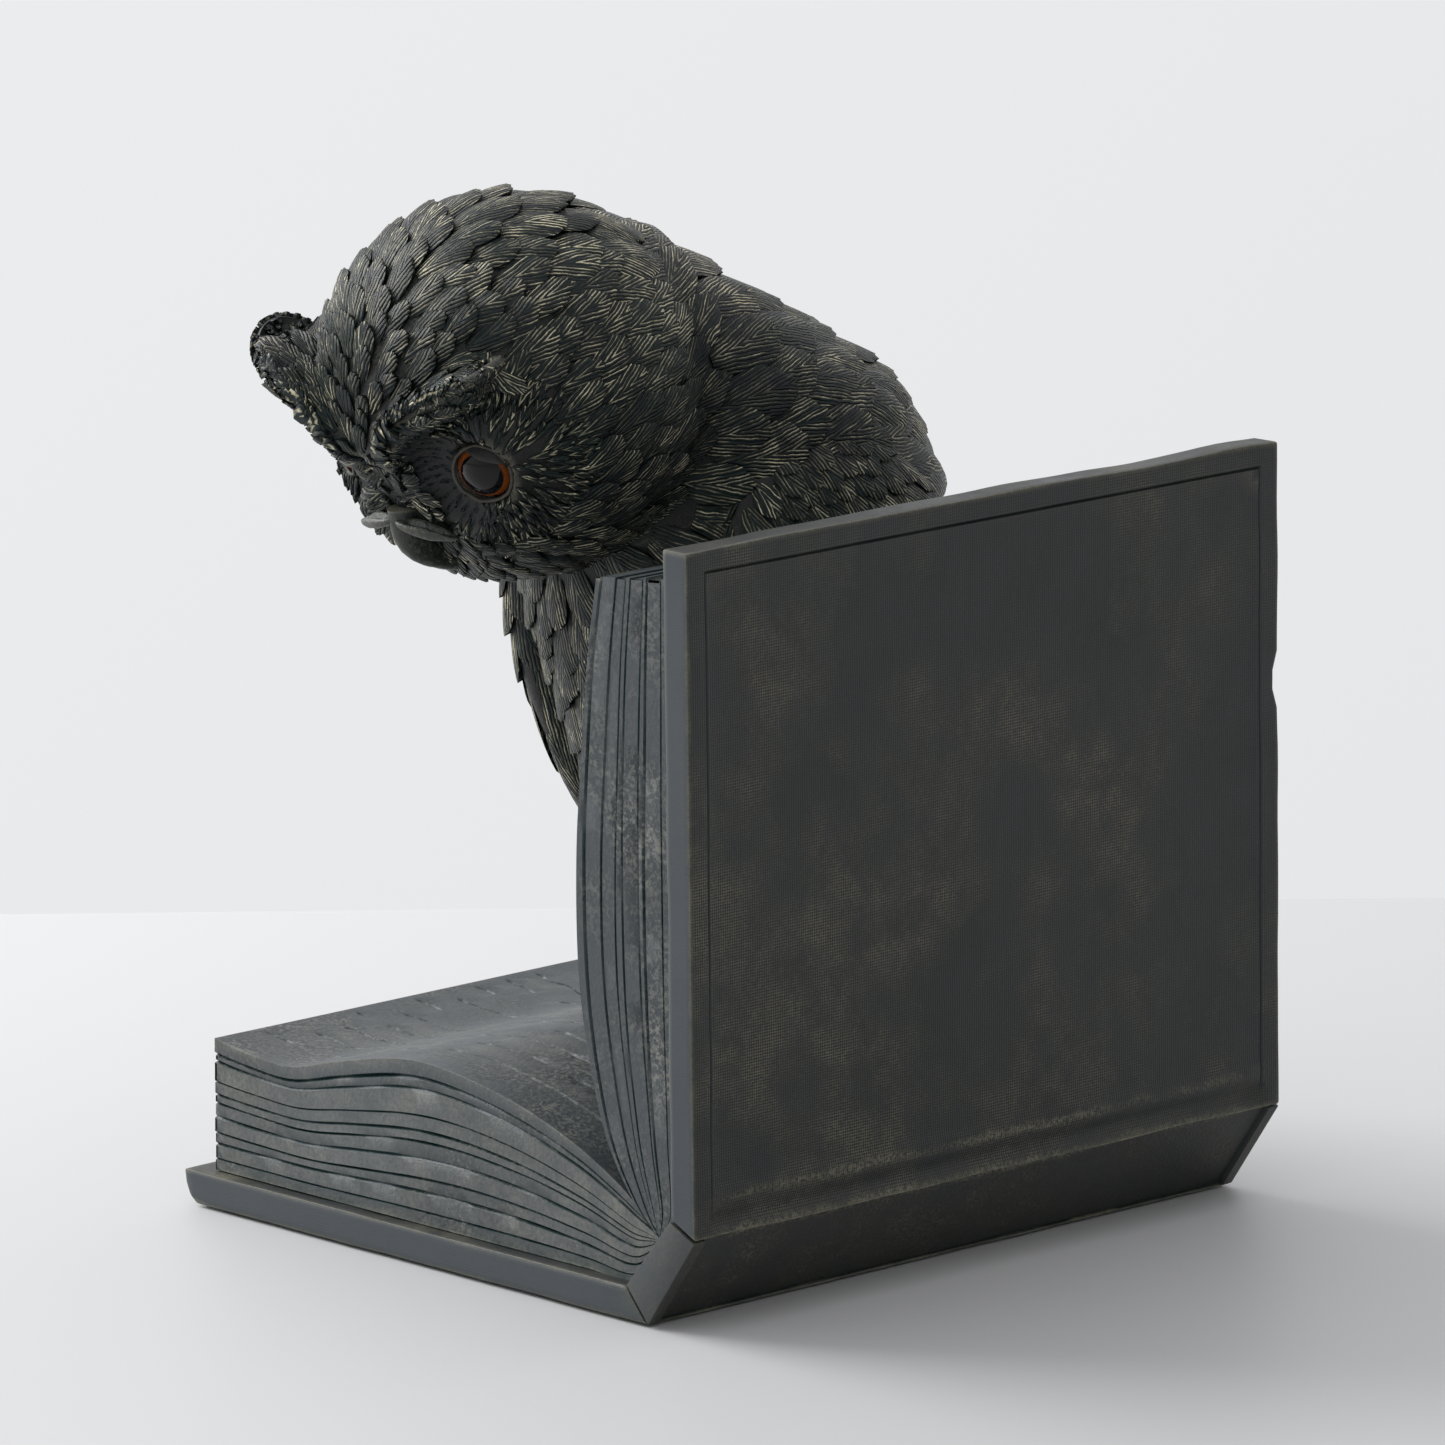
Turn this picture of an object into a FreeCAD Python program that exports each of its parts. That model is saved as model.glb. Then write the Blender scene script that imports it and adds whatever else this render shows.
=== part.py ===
import FreeCAD, Part
import math
import os
import Sketcher

# An open book that stands as a book end: its front board and leaves lie on the shelf, its back board
# stands upright behind the row of books, and a cast owl stands on the open pages with its head bowed.
# Frame: +Z up, +X out of the upright board towards the books, the owl faces -Y.
# Origin: the centre of the felt that the book end rests on.

doc = FreeCAD.newDocument("BookEnd")
V = FreeCAD.Vector

# ------------------------------------------------------------------ driving sizes (mm, degrees)
SIZES = [
    # the case: three cast boards joined on mitres
    ("book_length", 165.0, "length of the boards along the spine"),
    ("cover_height", 160.5, "height of the upright board's top edge above the base board's underside"),
    ("base_reach", 158.5, "upright board's outer face to the base board's fore edge"),
    ("board_thick", 7.5, "thickness of the base board and of the upright board"),
    ("board_bevel", 4.0, "how far the base board's fore edge slants in at the bottom"),
    ("spine_run", 14.3, "width of the spine slab's slanted outer face, along X"),
    ("spine_rise", 19.5, "height of the spine slab's slanted outer face"),
    ("heel_run", 6.7, "mitre between spine and base board: how far it leans in"),
    ("toe_rise", 3.5, "mitre between spine and upright board: how far it climbs"),
    ("joint_channel", 1.3, "depth of the hinge channel across the upright board's outer face"),
    ("channel_low", 1.0, "start of the hinge channel above the spine slab's top"),
    ("channel_width", 6.5, "height of the hinge channel"),
    # the two page blocks
    ("base_inset", 3.5, "base page block back from each end of the boards"),
    ("upright_inset", 2.0, "upright page block back from each end of the boards"),
    ("fore_setback", 6.0, "base page block back from the base board's fore edge"),
    ("fore_height", 28.3, "base page block's height at its fore edge"),
    ("trough_reach", 127.0, "low point of the open page, from the upright board's outer face"),
    ("trough_height", 26.2, "height of the page there, above the base board"),
    ("crest_reach", 84.0, "high point of the open page, from the upright board's outer face"),
    ("crest_height", 34.4, "height of the page there, above the base board"),
    ("fall_reach", 42.0, "point on the page's fall towards the gutter, from the outer face"),
    ("fall_height", 26.0, "height of the page there, above the base board"),
    ("gutter_run", 7.0, "line where the two page blocks touch: its run along X"),
    ("gutter_rise", 5.3, "line where the two page blocks touch: its rise"),
    ("head_gap", 7.0, "upright page block below the upright board's top edge"),
    ("head_slope", 2.2, "how far its top falls from the board to the open page"),
    ("head_leaves", 21.5, "thickness of the upright page block at its top"),
    ("belly_leaves", 28.6, "thickness of the upright page block where it bulges"),
    ("bulge_height", 84.0, "height of that bulge above the base board's underside"),
    ("root_leaves", 19.5, "thickness of the upright page block low down"),
    ("root_height", 34.0, "height of that place above the base board's underside"),
    # felt, ballast and dowels
    ("felt_thick", 1.5, "thickness of the felt"),
    ("felt_recess", 1.1, "depth of its recess in the base board"),
    ("felt_margin", 6.0, "width of the bare board around the felt"),
    ("ballast_long", 112.0, "steel ballast plate along Y"),
    ("ballast_wide", 92.0, "steel ballast plate along X"),
    ("ballast_thick", 12.0, "steel ballast plate's thickness"),
    ("ballast_reach", 134.0, "ballast plate's far edge from the upright board's outer face"),
    ("pocket_gap", 0.6, "room round the ballast plate in its pocket"),
    ("dowel_radius", 2.0, "radius of the steel dowels between boards and page blocks"),
    ("dowel_bite", 4.0, "how far a dowel stands in a board"),
    ("dowel_long", 14.0, "length of a dowel"),
    ("dowel_edge", 14.0, "dowels in from the ends of the boards"),
    ("glue_gap", 0.15, "glue line round every dowel, pin, plug and glass eye"),
    # the owl: horizontal ovals of its body
    ("owl_reach", 93.0, "owl's middle plane from the upright board's outer face"),
    ("owl_wall", 5.0, "wall of the hollow body casting"),
    ("owl_floor", 11.0, "thickness of the body's closed foot above the page's crest"),
    ("owl_throat", 8.0, "solid casting left below the neck joint's lowest point"),
    ("neck_tilt", 31.0, "slope of the joint between body and head"),
    ("neck_place", -6.5, "place of that joint's centre along Y"),
    ("neck_height", 157.0, "height of that joint's centre"),
    ("plug_depth", 14.0, "how far the neck plug stands in each casting"),
    ("plug_radius", 15.0, "radius of the neck plug"),
    ("skull_place", -49.0, "centre of the head along Y"),
    ("skull_height", 177.3, "centre of the head above the base board's underside"),
    ("skull_radius", 38.5, "radius of the head"),
    ("pour_radius", 6.0, "radius of the pouring hole from the neck into the body's hollow"),
    # what is set into the head
    ("eye_spread", 21.5, "eye from the owl's middle plane"),
    ("eye_place", -72.2, "eye along Y"),
    ("eye_height", 165.1, "eye above the base board's underside"),
    ("eye_turn", 26.0, "eye's outward turn from straight ahead"),
    ("eye_bow", 19.0, "eye's downward tilt"),
    ("eye_radius", 6.2, "radius of the glass eye's rim"),
    ("dome_ratio", 1.129, "radius of the glass eye's dome over the radius of its rim"),
    ("eye_seat", 5.0, "depth of the eye's socket below the facial disc"),
    ("iris_thick", 0.8, "thickness of the painted iris disc behind the glass"),
    ("disc_radius", 17.0, "radius of the dished facial disc round each eye"),
    ("disc_depth", 7.0, "depth of that dish"),
    ("beak_place", -76.5, "root of the beak along Y"),
    ("beak_height", 153.0, "root of the beak above the base board's underside"),
    ("beak_long", 27.0, "length of the beak's hook"),
    ("beak_girth", 5.0, "radius of the beak at its root"),
    ("beak_tilt", 40.0, "how far the beak's tip points back"),
    ("lobe_spread", 14.0, "end of a nostril lobe from the middle plane"),
    ("lobe_radius", 3.4, "radius of a nostril lobe"),
    ("tuft_spread", 24.7, "ear tuft from the middle plane"),
    ("tuft_place", -82.2, "ear tuft along Y"),
    ("tuft_height", 184.4, "ear tuft above the base board's underside"),
    ("tuft_half", 12.5, "half length of an ear tuft"),
    ("tuft_wide", 7.5, "half width of an ear tuft"),
    ("tuft_girth", 3.0, "half thickness of an ear tuft"),
    ("tuft_rise", 29.0, "ear tuft's rise towards its tip"),
    ("tuft_sweep", 19.5, "ear tuft's sweep back towards its tip"),
    # what is laid on the body
    ("wing_spread", 33.0, "middle of a wing from the middle plane"),
    ("wing_place", 21.0, "middle of a wing along Y"),
    ("wing_height", 112.0, "middle of a wing above the base board's underside"),
    ("wing_half", 61.0, "half length of a wing"),
    ("wing_wide", 35.0, "half width of a wing"),
    ("wing_girth", 12.5, "half thickness of a wing before it is seated on the body"),
    ("wing_tilt", 24.0, "forward lean of the wings"),
    ("tail_long", 52.0, "length of the tail"),
    ("tail_wide", 38.0, "width of the tail"),
    ("tail_thick", 12.0, "thickness of the tail"),
    ("tail_place", 65.0, "middle of the tail along Y"),
    ("tail_height", 58.0, "middle of the tail above the base board's underside"),
    ("tail_tilt", 14.0, "tail's lean, its tip behind"),
    ("foot_spread", 15.0, "foot from the middle plane"),
    ("foot_place", 6.0, "root of the toes along Y"),
    ("toe_long", 23.0, "length of a toe from the root, which the body covers"),
    ("toe_wide", 6.0, "width of a toe"),
    ("toe_high", 10.0, "height of a toe, half of it sunk in the page's crest"),
    ("toe_fan", 24.0, "angle between two toes"),
    ("pin_radius", 1.5, "radius of the steel pins that hold the wings"),
    ("pin_long", 8.0, "length of a wing pin"),
    ("stud_radius", 2.5, "radius of the steel studs between the owl and the book"),
    ("stud_long", 24.0, "length of a stud"),
    ("stud_bite", 9.0, "how far a stud stands in the owl's foot"),
]

# the owl's body, from the page up: name, height above the base board's underside, centre along Y,
# half width and half depth of each oval
BODY_OVALS = [
    ("sole", 30.0, 28.0, 26.0, 27.0),
    ("thigh", 60.0, 26.0, 32.0, 35.0),
    ("paunch", 90.0, 22.0, 36.0, 39.5),
    ("breast", 120.0, 13.0, 38.5, 43.0),
    ("shoulder", 148.0, 12.0, 39.5, 50.0),
    ("mantle", 168.0, 4.5, 37.5, 45.5),
    ("nape", 188.0, -17.0, 30.0, 33.0),
    ("crown", 207.0, -33.0, 17.0, 18.0),
]
for name, height, place, half_wide, half_deep in BODY_OVALS:
    SIZES.append((name + "_height", height, "height of the body's " + name + " oval"))
    SIZES.append((name + "_place", place, "its centre along Y"))
    SIZES.append((name + "_wide", half_wide, "its half width"))
    SIZES.append((name + "_deep", half_deep, "its half depth"))

sheet = doc.addObject("Spreadsheet::Sheet", "Size")
for row, (alias, value, meaning) in enumerate(SIZES, start=1):
    sheet.set("A%d" % row, meaning)
    sheet.set("B%d" % row, str(value))
    sheet.setAlias("B%d" % row, alias)
doc.recompute()


def size(alias):
    """A driving size, read from the sheet."""
    return float(getattr(sheet, alias))


def bound(thing, **expressions):
    """Ties properties of an object to expressions over the sheet; x, y and z are its place."""
    for prop, expression in expressions.items():
        path = "Placement.Base." + prop if prop in ("x", "y", "z") else prop
        thing.setExpression(path, expression)
    return thing


# Places that several pieces share, as expressions over the sheet.
COVER_X = "(Size.base_reach - Size.board_bevel + Size.spine_run) / 2"
BOARD_Z = "(Size.felt_thick - Size.felt_recess)"
OWL_X = "(" + COVER_X + " - Size.owl_reach)"


# ------------------------------------------------------------------ makers
def new_body(label):
    body = doc.addObject("PartDesign::Body", label)
    body.Label = label
    return bound(body, x=COVER_X, z=BOARD_Z)


def plane_of(body, role):
    return [plane for plane in body.Origin.OriginFeatures if plane.Role == role][0]


def outline(body, name, role, corners, arc_after=None, arc_rise=None):
    """A closed sketch through corners given as pairs of expressions. The side after corner
    number arc_after is an arc that stands arc_rise into the outline."""
    sketch = body.newObject("Sketcher::SketchObject", name)
    sketch.AttachmentSupport = (plane_of(body, role), [""])
    sketch.MapMode = "FlatFace"
    spots = [V(evaluated(a), evaluated(b), 0) for a, b in corners]
    ends = []
    for number, spot in enumerate(spots):
        after = spots[(number + 1) % len(spots)]
        if number == arc_after:
            middle = (spot + after) / 2 + V(-evaluated(arc_rise), 0, 0)
            arc = sketch.addGeometry(Part.Arc(spot, middle, after), False)
            starts_here = (sketch.getPoint(arc, 1) - spot).Length < 1e-6
            ends.append((arc, 1 if starts_here else 2))
        else:
            ends.append((sketch.addGeometry(Part.LineSegment(spot, after), False), 1))
    for number, (edge, first) in enumerate(ends):
        follower, start = ends[(number + 1) % len(ends)]
        sketch.addConstraint(Sketcher.Constraint("Coincident", edge, 3 - first, follower, start))
    for number, (edge, first) in enumerate(ends):
        for kind, which in (("DistanceX", 0), ("DistanceY", 1)):
            value = spots[number][which]
            row = sketch.addConstraint(Sketcher.Constraint(kind, -1, 1, edge, first, value))
            sketch.setExpression("Constraints[%d]" % row, corners[number][which])
    if arc_after is not None:
        arc = ends[arc_after][0]
        row = sketch.addConstraint(Sketcher.Constraint("Radius", arc, sketch.Geometry[arc].Radius))
        half = "(%s - %s) / 2" % (corners[(arc_after + 1) % len(corners)][1], corners[arc_after][1])
        sketch.setExpression("Constraints[%d]" % row,
                             "((%s)^2 + (%s)^2) / (2 * (%s))" % (half, arc_rise, arc_rise))
    return sketch


def evaluated(expression):
    """The present value of an expression over the sheet."""
    value = sheet.evalExpression(expression)
    return float(value.Value) if hasattr(value, "Value") else float(value)


def padded(body, sketch, length):
    pad = body.newObject("PartDesign::Pad", sketch.Name + "Pad")
    pad.Profile = sketch
    pad.Midplane = True
    pad.setExpression("Length", length)
    return pad


def rectangle(reach_far, reach_near, half_long):
    """Corners of an upright rectangle in plan, as outline wants them."""
    far, near = "-(%s)" % reach_far, "-(%s)" % reach_near
    low, high = "-(%s)" % half_long, half_long
    return [(far, low), (near, low), (near, high), (far, high)]


def lengthwise_block(label, edges, half_length):
    """A closed section in the XZ plane, drawn from the upright board's outer face, run along Y."""
    face = Part.Face(Part.Wire(edges))
    face.translate(V(0, -half_length, 0))
    block = doc.addObject("Part::Feature", label)
    block.Shape = face.extrude(V(0, 2 * half_length, 0))
    return bound(block, x=COVER_X, z=BOARD_Z)


def box(name, x, y, z, length, width, height):
    """A box by its middle in X and Y and its underside in Z."""
    block = doc.addObject("Part::Box", name)
    bound(block, Length=length, Width=width, Height=height)
    return bound(block, x="%s - (%s) / 2" % (x, length), y="%s - (%s) / 2" % (y, width), z=z)


def rod(name, radius, length, x, y, z, along=None):
    """A round rod from its start point, along a direction (upwards if none is given)."""
    piece = doc.addObject("Part::Cylinder", name)
    bound(piece, Radius=radius, Height=length, x=x, y=y, z=z)
    if along is not None:
        piece.Placement.Rotation = FreeCAD.Rotation(V(0, 0, 1), along)
    return piece


def ellipsoid(name, half_x, half_y, half_z, x, y, z, turn=None):
    form = doc.addObject("Part::Ellipsoid", name)
    form.Angle1 = -90
    form.Angle2 = 90
    form.Angle3 = 360
    bound(form, Radius1=half_z, Radius2=half_x, Radius3=half_y, x=x, y=y, z=z)
    if turn is not None:
        form.Placement.Rotation = turn
    return form


def together(name, pieces):
    joined = doc.addObject("Part::MultiFuse", name)
    joined.Shapes = pieces
    return joined


def group(name, pieces):
    bundle = doc.addObject("Part::Compound", name)
    bundle.Links = pieces
    return bundle


def cut(name, base, tool):
    piece = doc.addObject("Part::Cut", name)
    piece.Base = base
    piece.Tool = tool
    return piece


def cut_all(label, base, tools):
    """Takes each tool out of the base in turn; the last result carries the label."""
    for number, tool in enumerate(tools):
        base = cut("%sCut%d" % (label.title().replace("_", ""), number), base, tool)
    base.Label = label
    return base


def common(name, base, tool):
    piece = doc.addObject("Part::Common", name)
    piece.Base = base
    piece.Tool = tool
    return piece


# ------------------------------------------------------------------ the case
# Base board: cast resin slab that lies on the shelf. Its fore edge slants in, its back edge is a mitre.
base_board_body = new_body("base_board")
padded(base_board_body, outline(base_board_body, "BaseSection", "XZ_Plane", [
    ("-(Size.base_reach - Size.board_bevel)", "0"),
    ("-Size.spine_run", "0"),
    ("-(Size.spine_run + Size.heel_run)", "Size.board_thick"),
    ("-Size.base_reach", "Size.board_thick"),
]), "Size.book_length")
felt_corners = rectangle("Size.base_reach - Size.board_bevel - Size.felt_margin",
                         "Size.spine_run + Size.felt_margin",
                         "(Size.book_length / 2 - Size.felt_margin)")
felt_recess = base_board_body.newObject("PartDesign::Pocket", "FeltRecess")
felt_recess.Profile = outline(base_board_body, "FeltOutline", "XY_Plane", felt_corners)
felt_recess.Reversed = True
felt_recess.setExpression("Length", "Size.felt_recess")

# Upright board: the back cover, whose outer face carries the row of books. A shallow hinge channel
# crosses it above the spine.
upright_board_body = new_body("upright_board")
padded(upright_board_body, outline(upright_board_body, "UprightSection", "XZ_Plane", [
    ("0", "Size.spine_rise"),
    ("0", "Size.spine_rise + Size.channel_low"),
    ("0", "Size.spine_rise + Size.channel_low + Size.channel_width"),
    ("0", "Size.cover_height"),
    ("-Size.board_thick", "Size.cover_height"),
    ("-Size.board_thick", "Size.spine_rise + Size.toe_rise"),
], arc_after=1, arc_rise="Size.joint_channel"), "Size.book_length")

# Spine slab: the slanted strip between the two boards, glued on their mitres.
spine_body = new_body("spine_board")
padded(spine_body, outline(spine_body, "SpineSection", "XZ_Plane", [
    ("-Size.spine_run", "0"),
    ("0", "Size.spine_rise"),
    ("-Size.board_thick", "Size.spine_rise + Size.toe_rise"),
    ("-(Size.spine_run + Size.heel_run)", "Size.board_thick"),
]), "Size.book_length")

# Felt: a thin pad set in the base board's recess and a little proud of it.
felt_body = new_body("base_felt")
felt_pad = felt_body.newObject("PartDesign::Pad", "FeltPad")
felt_pad.Profile = outline(felt_body, "FeltShape", "XY_Plane", felt_corners)
felt_pad.setExpression("Length", "Size.felt_thick")
felt_body.setExpression("Placement.Base.z", "0")
doc.recompute()

# ------------------------------------------------------------------ the page blocks
board_top = size("board_thick")
heel = V(-size("spine_run") - size("heel_run"), 0, board_top)
toe = V(-board_top, 0, size("spine_rise") + size("toe_rise"))
gutter = (heel + toe * 2) / 3
touch = gutter + V(-size("gutter_run"), 0, size("gutter_rise"))


def page_curve(points):
    curve = Part.BSplineCurve()
    curve.interpolate(points)
    return curve.toShape()


def line(start, end):
    return Part.LineSegment(start, end).toShape()


# Base page block: the leaves of the open half that lies down. The top leaf dips near the fore edge,
# crests over the middle and falls into the gutter.
fore_x = -(size("base_reach") - size("fore_setback"))
fore_foot = V(fore_x, 0, board_top)
fore_head = V(fore_x, 0, board_top + size("fore_height"))
open_page = [
    fore_head,
    V(-size("trough_reach"), 0, board_top + size("trough_height")),
    V(-size("crest_reach"), 0, board_top + size("crest_height")),
    V(-size("fall_reach"), 0, board_top + size("fall_height")),
    touch,
]
base_leaves = lengthwise_block("BaseLeaves", [
    line(heel, fore_foot),
    line(fore_foot, fore_head),
    page_curve(open_page),
    line(touch, gutter),
    line(gutter, heel),
], size("book_length") / 2 - size("base_inset"))

# Upright page block: the leaves of the half that stands, bulging towards the owl.
head_z = size("cover_height") - size("head_gap")
head_back = V(-board_top, 0, head_z)
head_front = V(-board_top - size("head_leaves"), 0, head_z - size("head_slope"))
upright_leaves = lengthwise_block("UprightLeaves", [
    line(toe, head_back),
    line(head_back, head_front),
    page_curve([
        head_front,
        V(-board_top - size("belly_leaves"), 0, size("bulge_height")),
        V(-board_top - size("root_leaves"), 0, size("root_height")),
        touch,
    ]),
    line(touch, gutter),
    line(gutter, toe),
], size("book_length") / 2 - size("upright_inset"))

# Ballast: a steel plate glued in a pocket in the underside of the base page block.
BALLAST_X = COVER_X + " - Size.ballast_reach + Size.ballast_wide / 2"
BOARD_TOP_Z = BOARD_Z + " + Size.board_thick"
ballast = box("ballast_plate", BALLAST_X, "0", BOARD_TOP_Z,
              "Size.ballast_wide", "Size.ballast_long", "Size.ballast_thick")
ballast_pocket = box("BallastPocket", BALLAST_X, "0", BOARD_TOP_Z,
                     "Size.ballast_wide + 2 * Size.pocket_gap",
                     "Size.ballast_long + 2 * Size.pocket_gap",
                     "Size.ballast_thick + Size.pocket_gap")

# Dowels: steel pins that locate each page block on its board, each in a hole with a glue line round it.
DOWEL_Y = "Size.book_length / 2 - Size.dowel_edge"
base_spots = []
for reach in ("Size.base_reach - Size.dowel_edge", "Size.spine_run + 2 * Size.dowel_edge"):
    for side in ("", "-"):
        base_spots.append((COVER_X + " - (" + reach + ")", side + "(" + DOWEL_Y + ")"))
BASE_DOWEL_Z = BOARD_TOP_Z + " - Size.dowel_bite"
base_dowel_rods = [rod("BaseDowel%d" % number, "Size.dowel_radius",
                       "Size.dowel_long", x, y, BASE_DOWEL_Z)
                   for number, (x, y) in enumerate(base_spots)]
base_dowel_holes = [rod("BaseDowelHole%d" % number, "Size.dowel_radius + Size.glue_gap",
                        "Size.dowel_long", x, y, BASE_DOWEL_Z)
                    for number, (x, y) in enumerate(base_spots)]
upright_spots = [(side + "(" + DOWEL_Y + ")", height)
                 for side in ("", "-")
                 for height in (BOARD_Z + " + Size.root_height + Size.dowel_edge",
                                BOARD_Z + " + Size.cover_height - Size.head_gap - Size.dowel_edge")]
UPRIGHT_DOWEL_X = COVER_X + " - Size.board_thick + Size.dowel_bite"
into_pages = V(-1, 0, 0)
upright_dowel_rods = [rod("UprightDowel%d" % number, "Size.dowel_radius", "Size.dowel_long",
                          UPRIGHT_DOWEL_X, y, z, into_pages)
                      for number, (y, z) in enumerate(upright_spots)]
upright_dowel_holes = [rod("UprightDowelHole%d" % number, "Size.dowel_radius + Size.glue_gap",
                           "Size.dowel_long", UPRIGHT_DOWEL_X, y, z, into_pages)
                       for number, (y, z) in enumerate(upright_spots)]

# ------------------------------------------------------------------ the owl's castings
# The owl is cast as a hollow body and a head, which meet on a sloping neck joint. Both come from one
# outer form: a stack of ovals for the body and a ball for the skull.


def oval_at(height):
    """Centre along Y, half width and half depth of the body at a height, between the listed ovals."""
    rows = [[size(oval + "_" + part) for part in ("height", "place", "wide", "deep")]
            for oval, *_ in BODY_OVALS]
    for lower, upper in zip(rows, rows[1:]):
        if lower[0] <= height <= upper[0]:
            share = (height - lower[0]) / (upper[0] - lower[0])
            return [a + share * (b - a) for a, b in zip(lower[1:], upper[1:])]
    raise ValueError("no oval near height %g" % height)


OVAL_POINTS = 12


def oval_stack(name, heights, thinner):
    """The body's ovals at some heights, lofted, thinner than the outside by a wall."""
    wires = []
    for height in heights:
        place, half_wide, half_deep = oval_at(height)
        turns = [2 * math.pi * number / OVAL_POINTS for number in range(OVAL_POINTS)]
        ring = Part.BSplineCurve()
        ring.interpolate(Points=[V((half_wide - thinner) * math.cos(turn),
                                   place + (half_deep - thinner) * math.sin(turn), height)
                                 for turn in turns], PeriodicFlag=True)
        wires.append(Part.Wire(ring.toShape()))
    stack = doc.addObject("Part::Feature", name)
    stack.Shape = Part.makeLoft(wires, True, False)
    return bound(stack, x=OWL_X, z=BOARD_Z)


SKULL_Z = BOARD_Z + " + Size.skull_height"
oval_heights = [size(oval + "_height") for oval, *_ in BODY_OVALS]
skull = doc.addObject("Part::Sphere", "Skull")
bound(skull, Radius="Size.skull_radius", x=OWL_X, y="Size.skull_place", z=SKULL_Z)
outer_form = together("OuterForm", [oval_stack("BodyForm", oval_heights, 0.0), skull])

# The neck joint: everything above this sloping plane belongs to the head.
REACH_PAST = 200.0
neck_turn = FreeCAD.Rotation(V(1, 0, 0), size("neck_tilt"))
neck_up = neck_turn.multVec(V(0, 0, 1))
neck_centre = V(evaluated(OWL_X), size("neck_place"), size("neck_height") + evaluated(BOARD_Z))
head_side = doc.addObject("Part::Box", "HeadSide")
head_side.Length = REACH_PAST
head_side.Width = REACH_PAST
head_side.Height = REACH_PAST
head_side.Placement = FreeCAD.Placement(
    neck_centre + neck_turn.multVec(V(-REACH_PAST / 2, -REACH_PAST / 2, 0)), neck_turn)

# Neck plug: a round resin plug that centres the head on the body and closes both hollows.
plug = doc.addObject("Part::Cylinder", "neck_plug")
bound(plug, Radius="Size.plug_radius", Height="2 * Size.plug_depth")
plug.Placement = FreeCAD.Placement(neck_centre - neck_up * size("plug_depth"), neck_turn)

plug_bore = doc.addObject("Part::Cylinder", "PlugBore")
bound(plug_bore, Radius="Size.plug_radius + Size.glue_gap", Height="2 * Size.plug_depth")
plug_bore.Placement = plug.Placement

# Hollow: the body is slush cast, so it has an even wall up to its throat, with a pouring hole to the
# neck.
hollow_low = board_top + size("crest_height") + size("owl_floor")
neck_low = size("neck_height") - math.tan(math.radians(size("neck_tilt"))) * size("shoulder_deep")
hollow_high = neck_low - size("owl_throat")
HOLLOW_STEPS = 3
hollow_heights = [hollow_low + (hollow_high - hollow_low) * step / HOLLOW_STEPS
                  for step in range(HOLLOW_STEPS + 1)]
body_hollow = oval_stack("BodyHollow", hollow_heights, size("owl_wall"))
pour_long = (size("neck_height") - hollow_high) / neck_up.z + size("owl_wall")
pour_hole = doc.addObject("Part::Cylinder", "PourHole")
bound(pour_hole, Radius="Size.pour_radius")
pour_hole.Height = pour_long
pour_hole.Placement = FreeCAD.Placement(neck_centre - neck_up * pour_long, neck_turn)

# Eyes: a glass dome over a painted iris disc, in a socket at the bottom of a dished facial disc.
eye_rods = {}
DISH_RADIUS = "(Size.disc_radius^2 + Size.disc_depth^2) / (2 * Size.disc_depth)"
for side, sign in (("left", 1), ("right", -1)):
    turn = math.radians(size("eye_turn"))
    bow = math.radians(size("eye_bow"))
    gaze = V(sign * math.sin(turn) * math.cos(bow), -math.cos(turn) * math.cos(bow), -math.sin(bow))
    rotation = FreeCAD.Rotation(V(0, 0, 1), gaze)
    centre = V(evaluated(OWL_X) + sign * size("eye_spread"), size("eye_place"),
               size("eye_height") + evaluated(BOARD_Z))

    def along_gaze(depth, piece):
        piece.Placement = FreeCAD.Placement(centre + gaze * depth, rotation)
        return piece

    def gaze_rod(name, radius, start, length):
        piece = doc.addObject("Part::Cylinder", side.capitalize() + name)
        bound(piece, Radius=radius, Height=length)
        return along_gaze(start, piece)

    seat = -size("eye_seat")
    glass_start = seat + size("iris_thick")
    dome = doc.addObject("Part::Sphere", side.capitalize() + "Dome")
    dome.setExpression("Radius", "Size.eye_radius * Size.dome_ratio")
    along_gaze(glass_start, dome)
    glass_rod = gaze_rod("GlassRim", "Size.eye_radius", glass_start, "3 * Size.eye_radius")
    glass = common(side + "_eye_glass", dome, glass_rod)
    iris = gaze_rod("Iris", "Size.eye_radius", seat, "Size.iris_thick")
    iris.Label = side + "_eye_iris"
    socket = gaze_rod("Socket", "Size.eye_radius + Size.glue_gap", seat, "Size.skull_radius")
    dish = doc.addObject("Part::Sphere", side.capitalize() + "Dish")
    bound(dish, Radius=DISH_RADIUS)
    along_gaze(evaluated(DISH_RADIUS), dish)
    eye_rods[side] = [socket, dish, iris, glass]

# Beak: a tapered hook, crossed near its root by a bar for the nostril lobes, set in a socket below the
# brow.
BEAK_Z = BOARD_Z + " + Size.beak_height"
beak_turn = FreeCAD.Rotation(V(1, 0, 0), 180 + size("beak_tilt"))
beak_root = V(evaluated(OWL_X), size("beak_place"), size("beak_height") + evaluated(BOARD_Z))
hook = doc.addObject("Part::Cone", "Hook")
bound(hook, Radius1="Size.beak_girth", Radius2="Size.beak_girth * 0.2", Height="Size.beak_long")
hook_start = beak_root - beak_turn.multVec(V(0, 0, 2 * size("lobe_radius")))
hook.Placement = FreeCAD.Placement(hook_start, beak_turn)
lobe_bar = rod("LobeBar", "Size.lobe_radius", "2 * Size.lobe_spread", OWL_X + " - Size.lobe_spread",
               "Size.beak_place", BEAK_Z, V(1, 0, 0))
beak = together("beak", [hook, lobe_bar])

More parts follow.
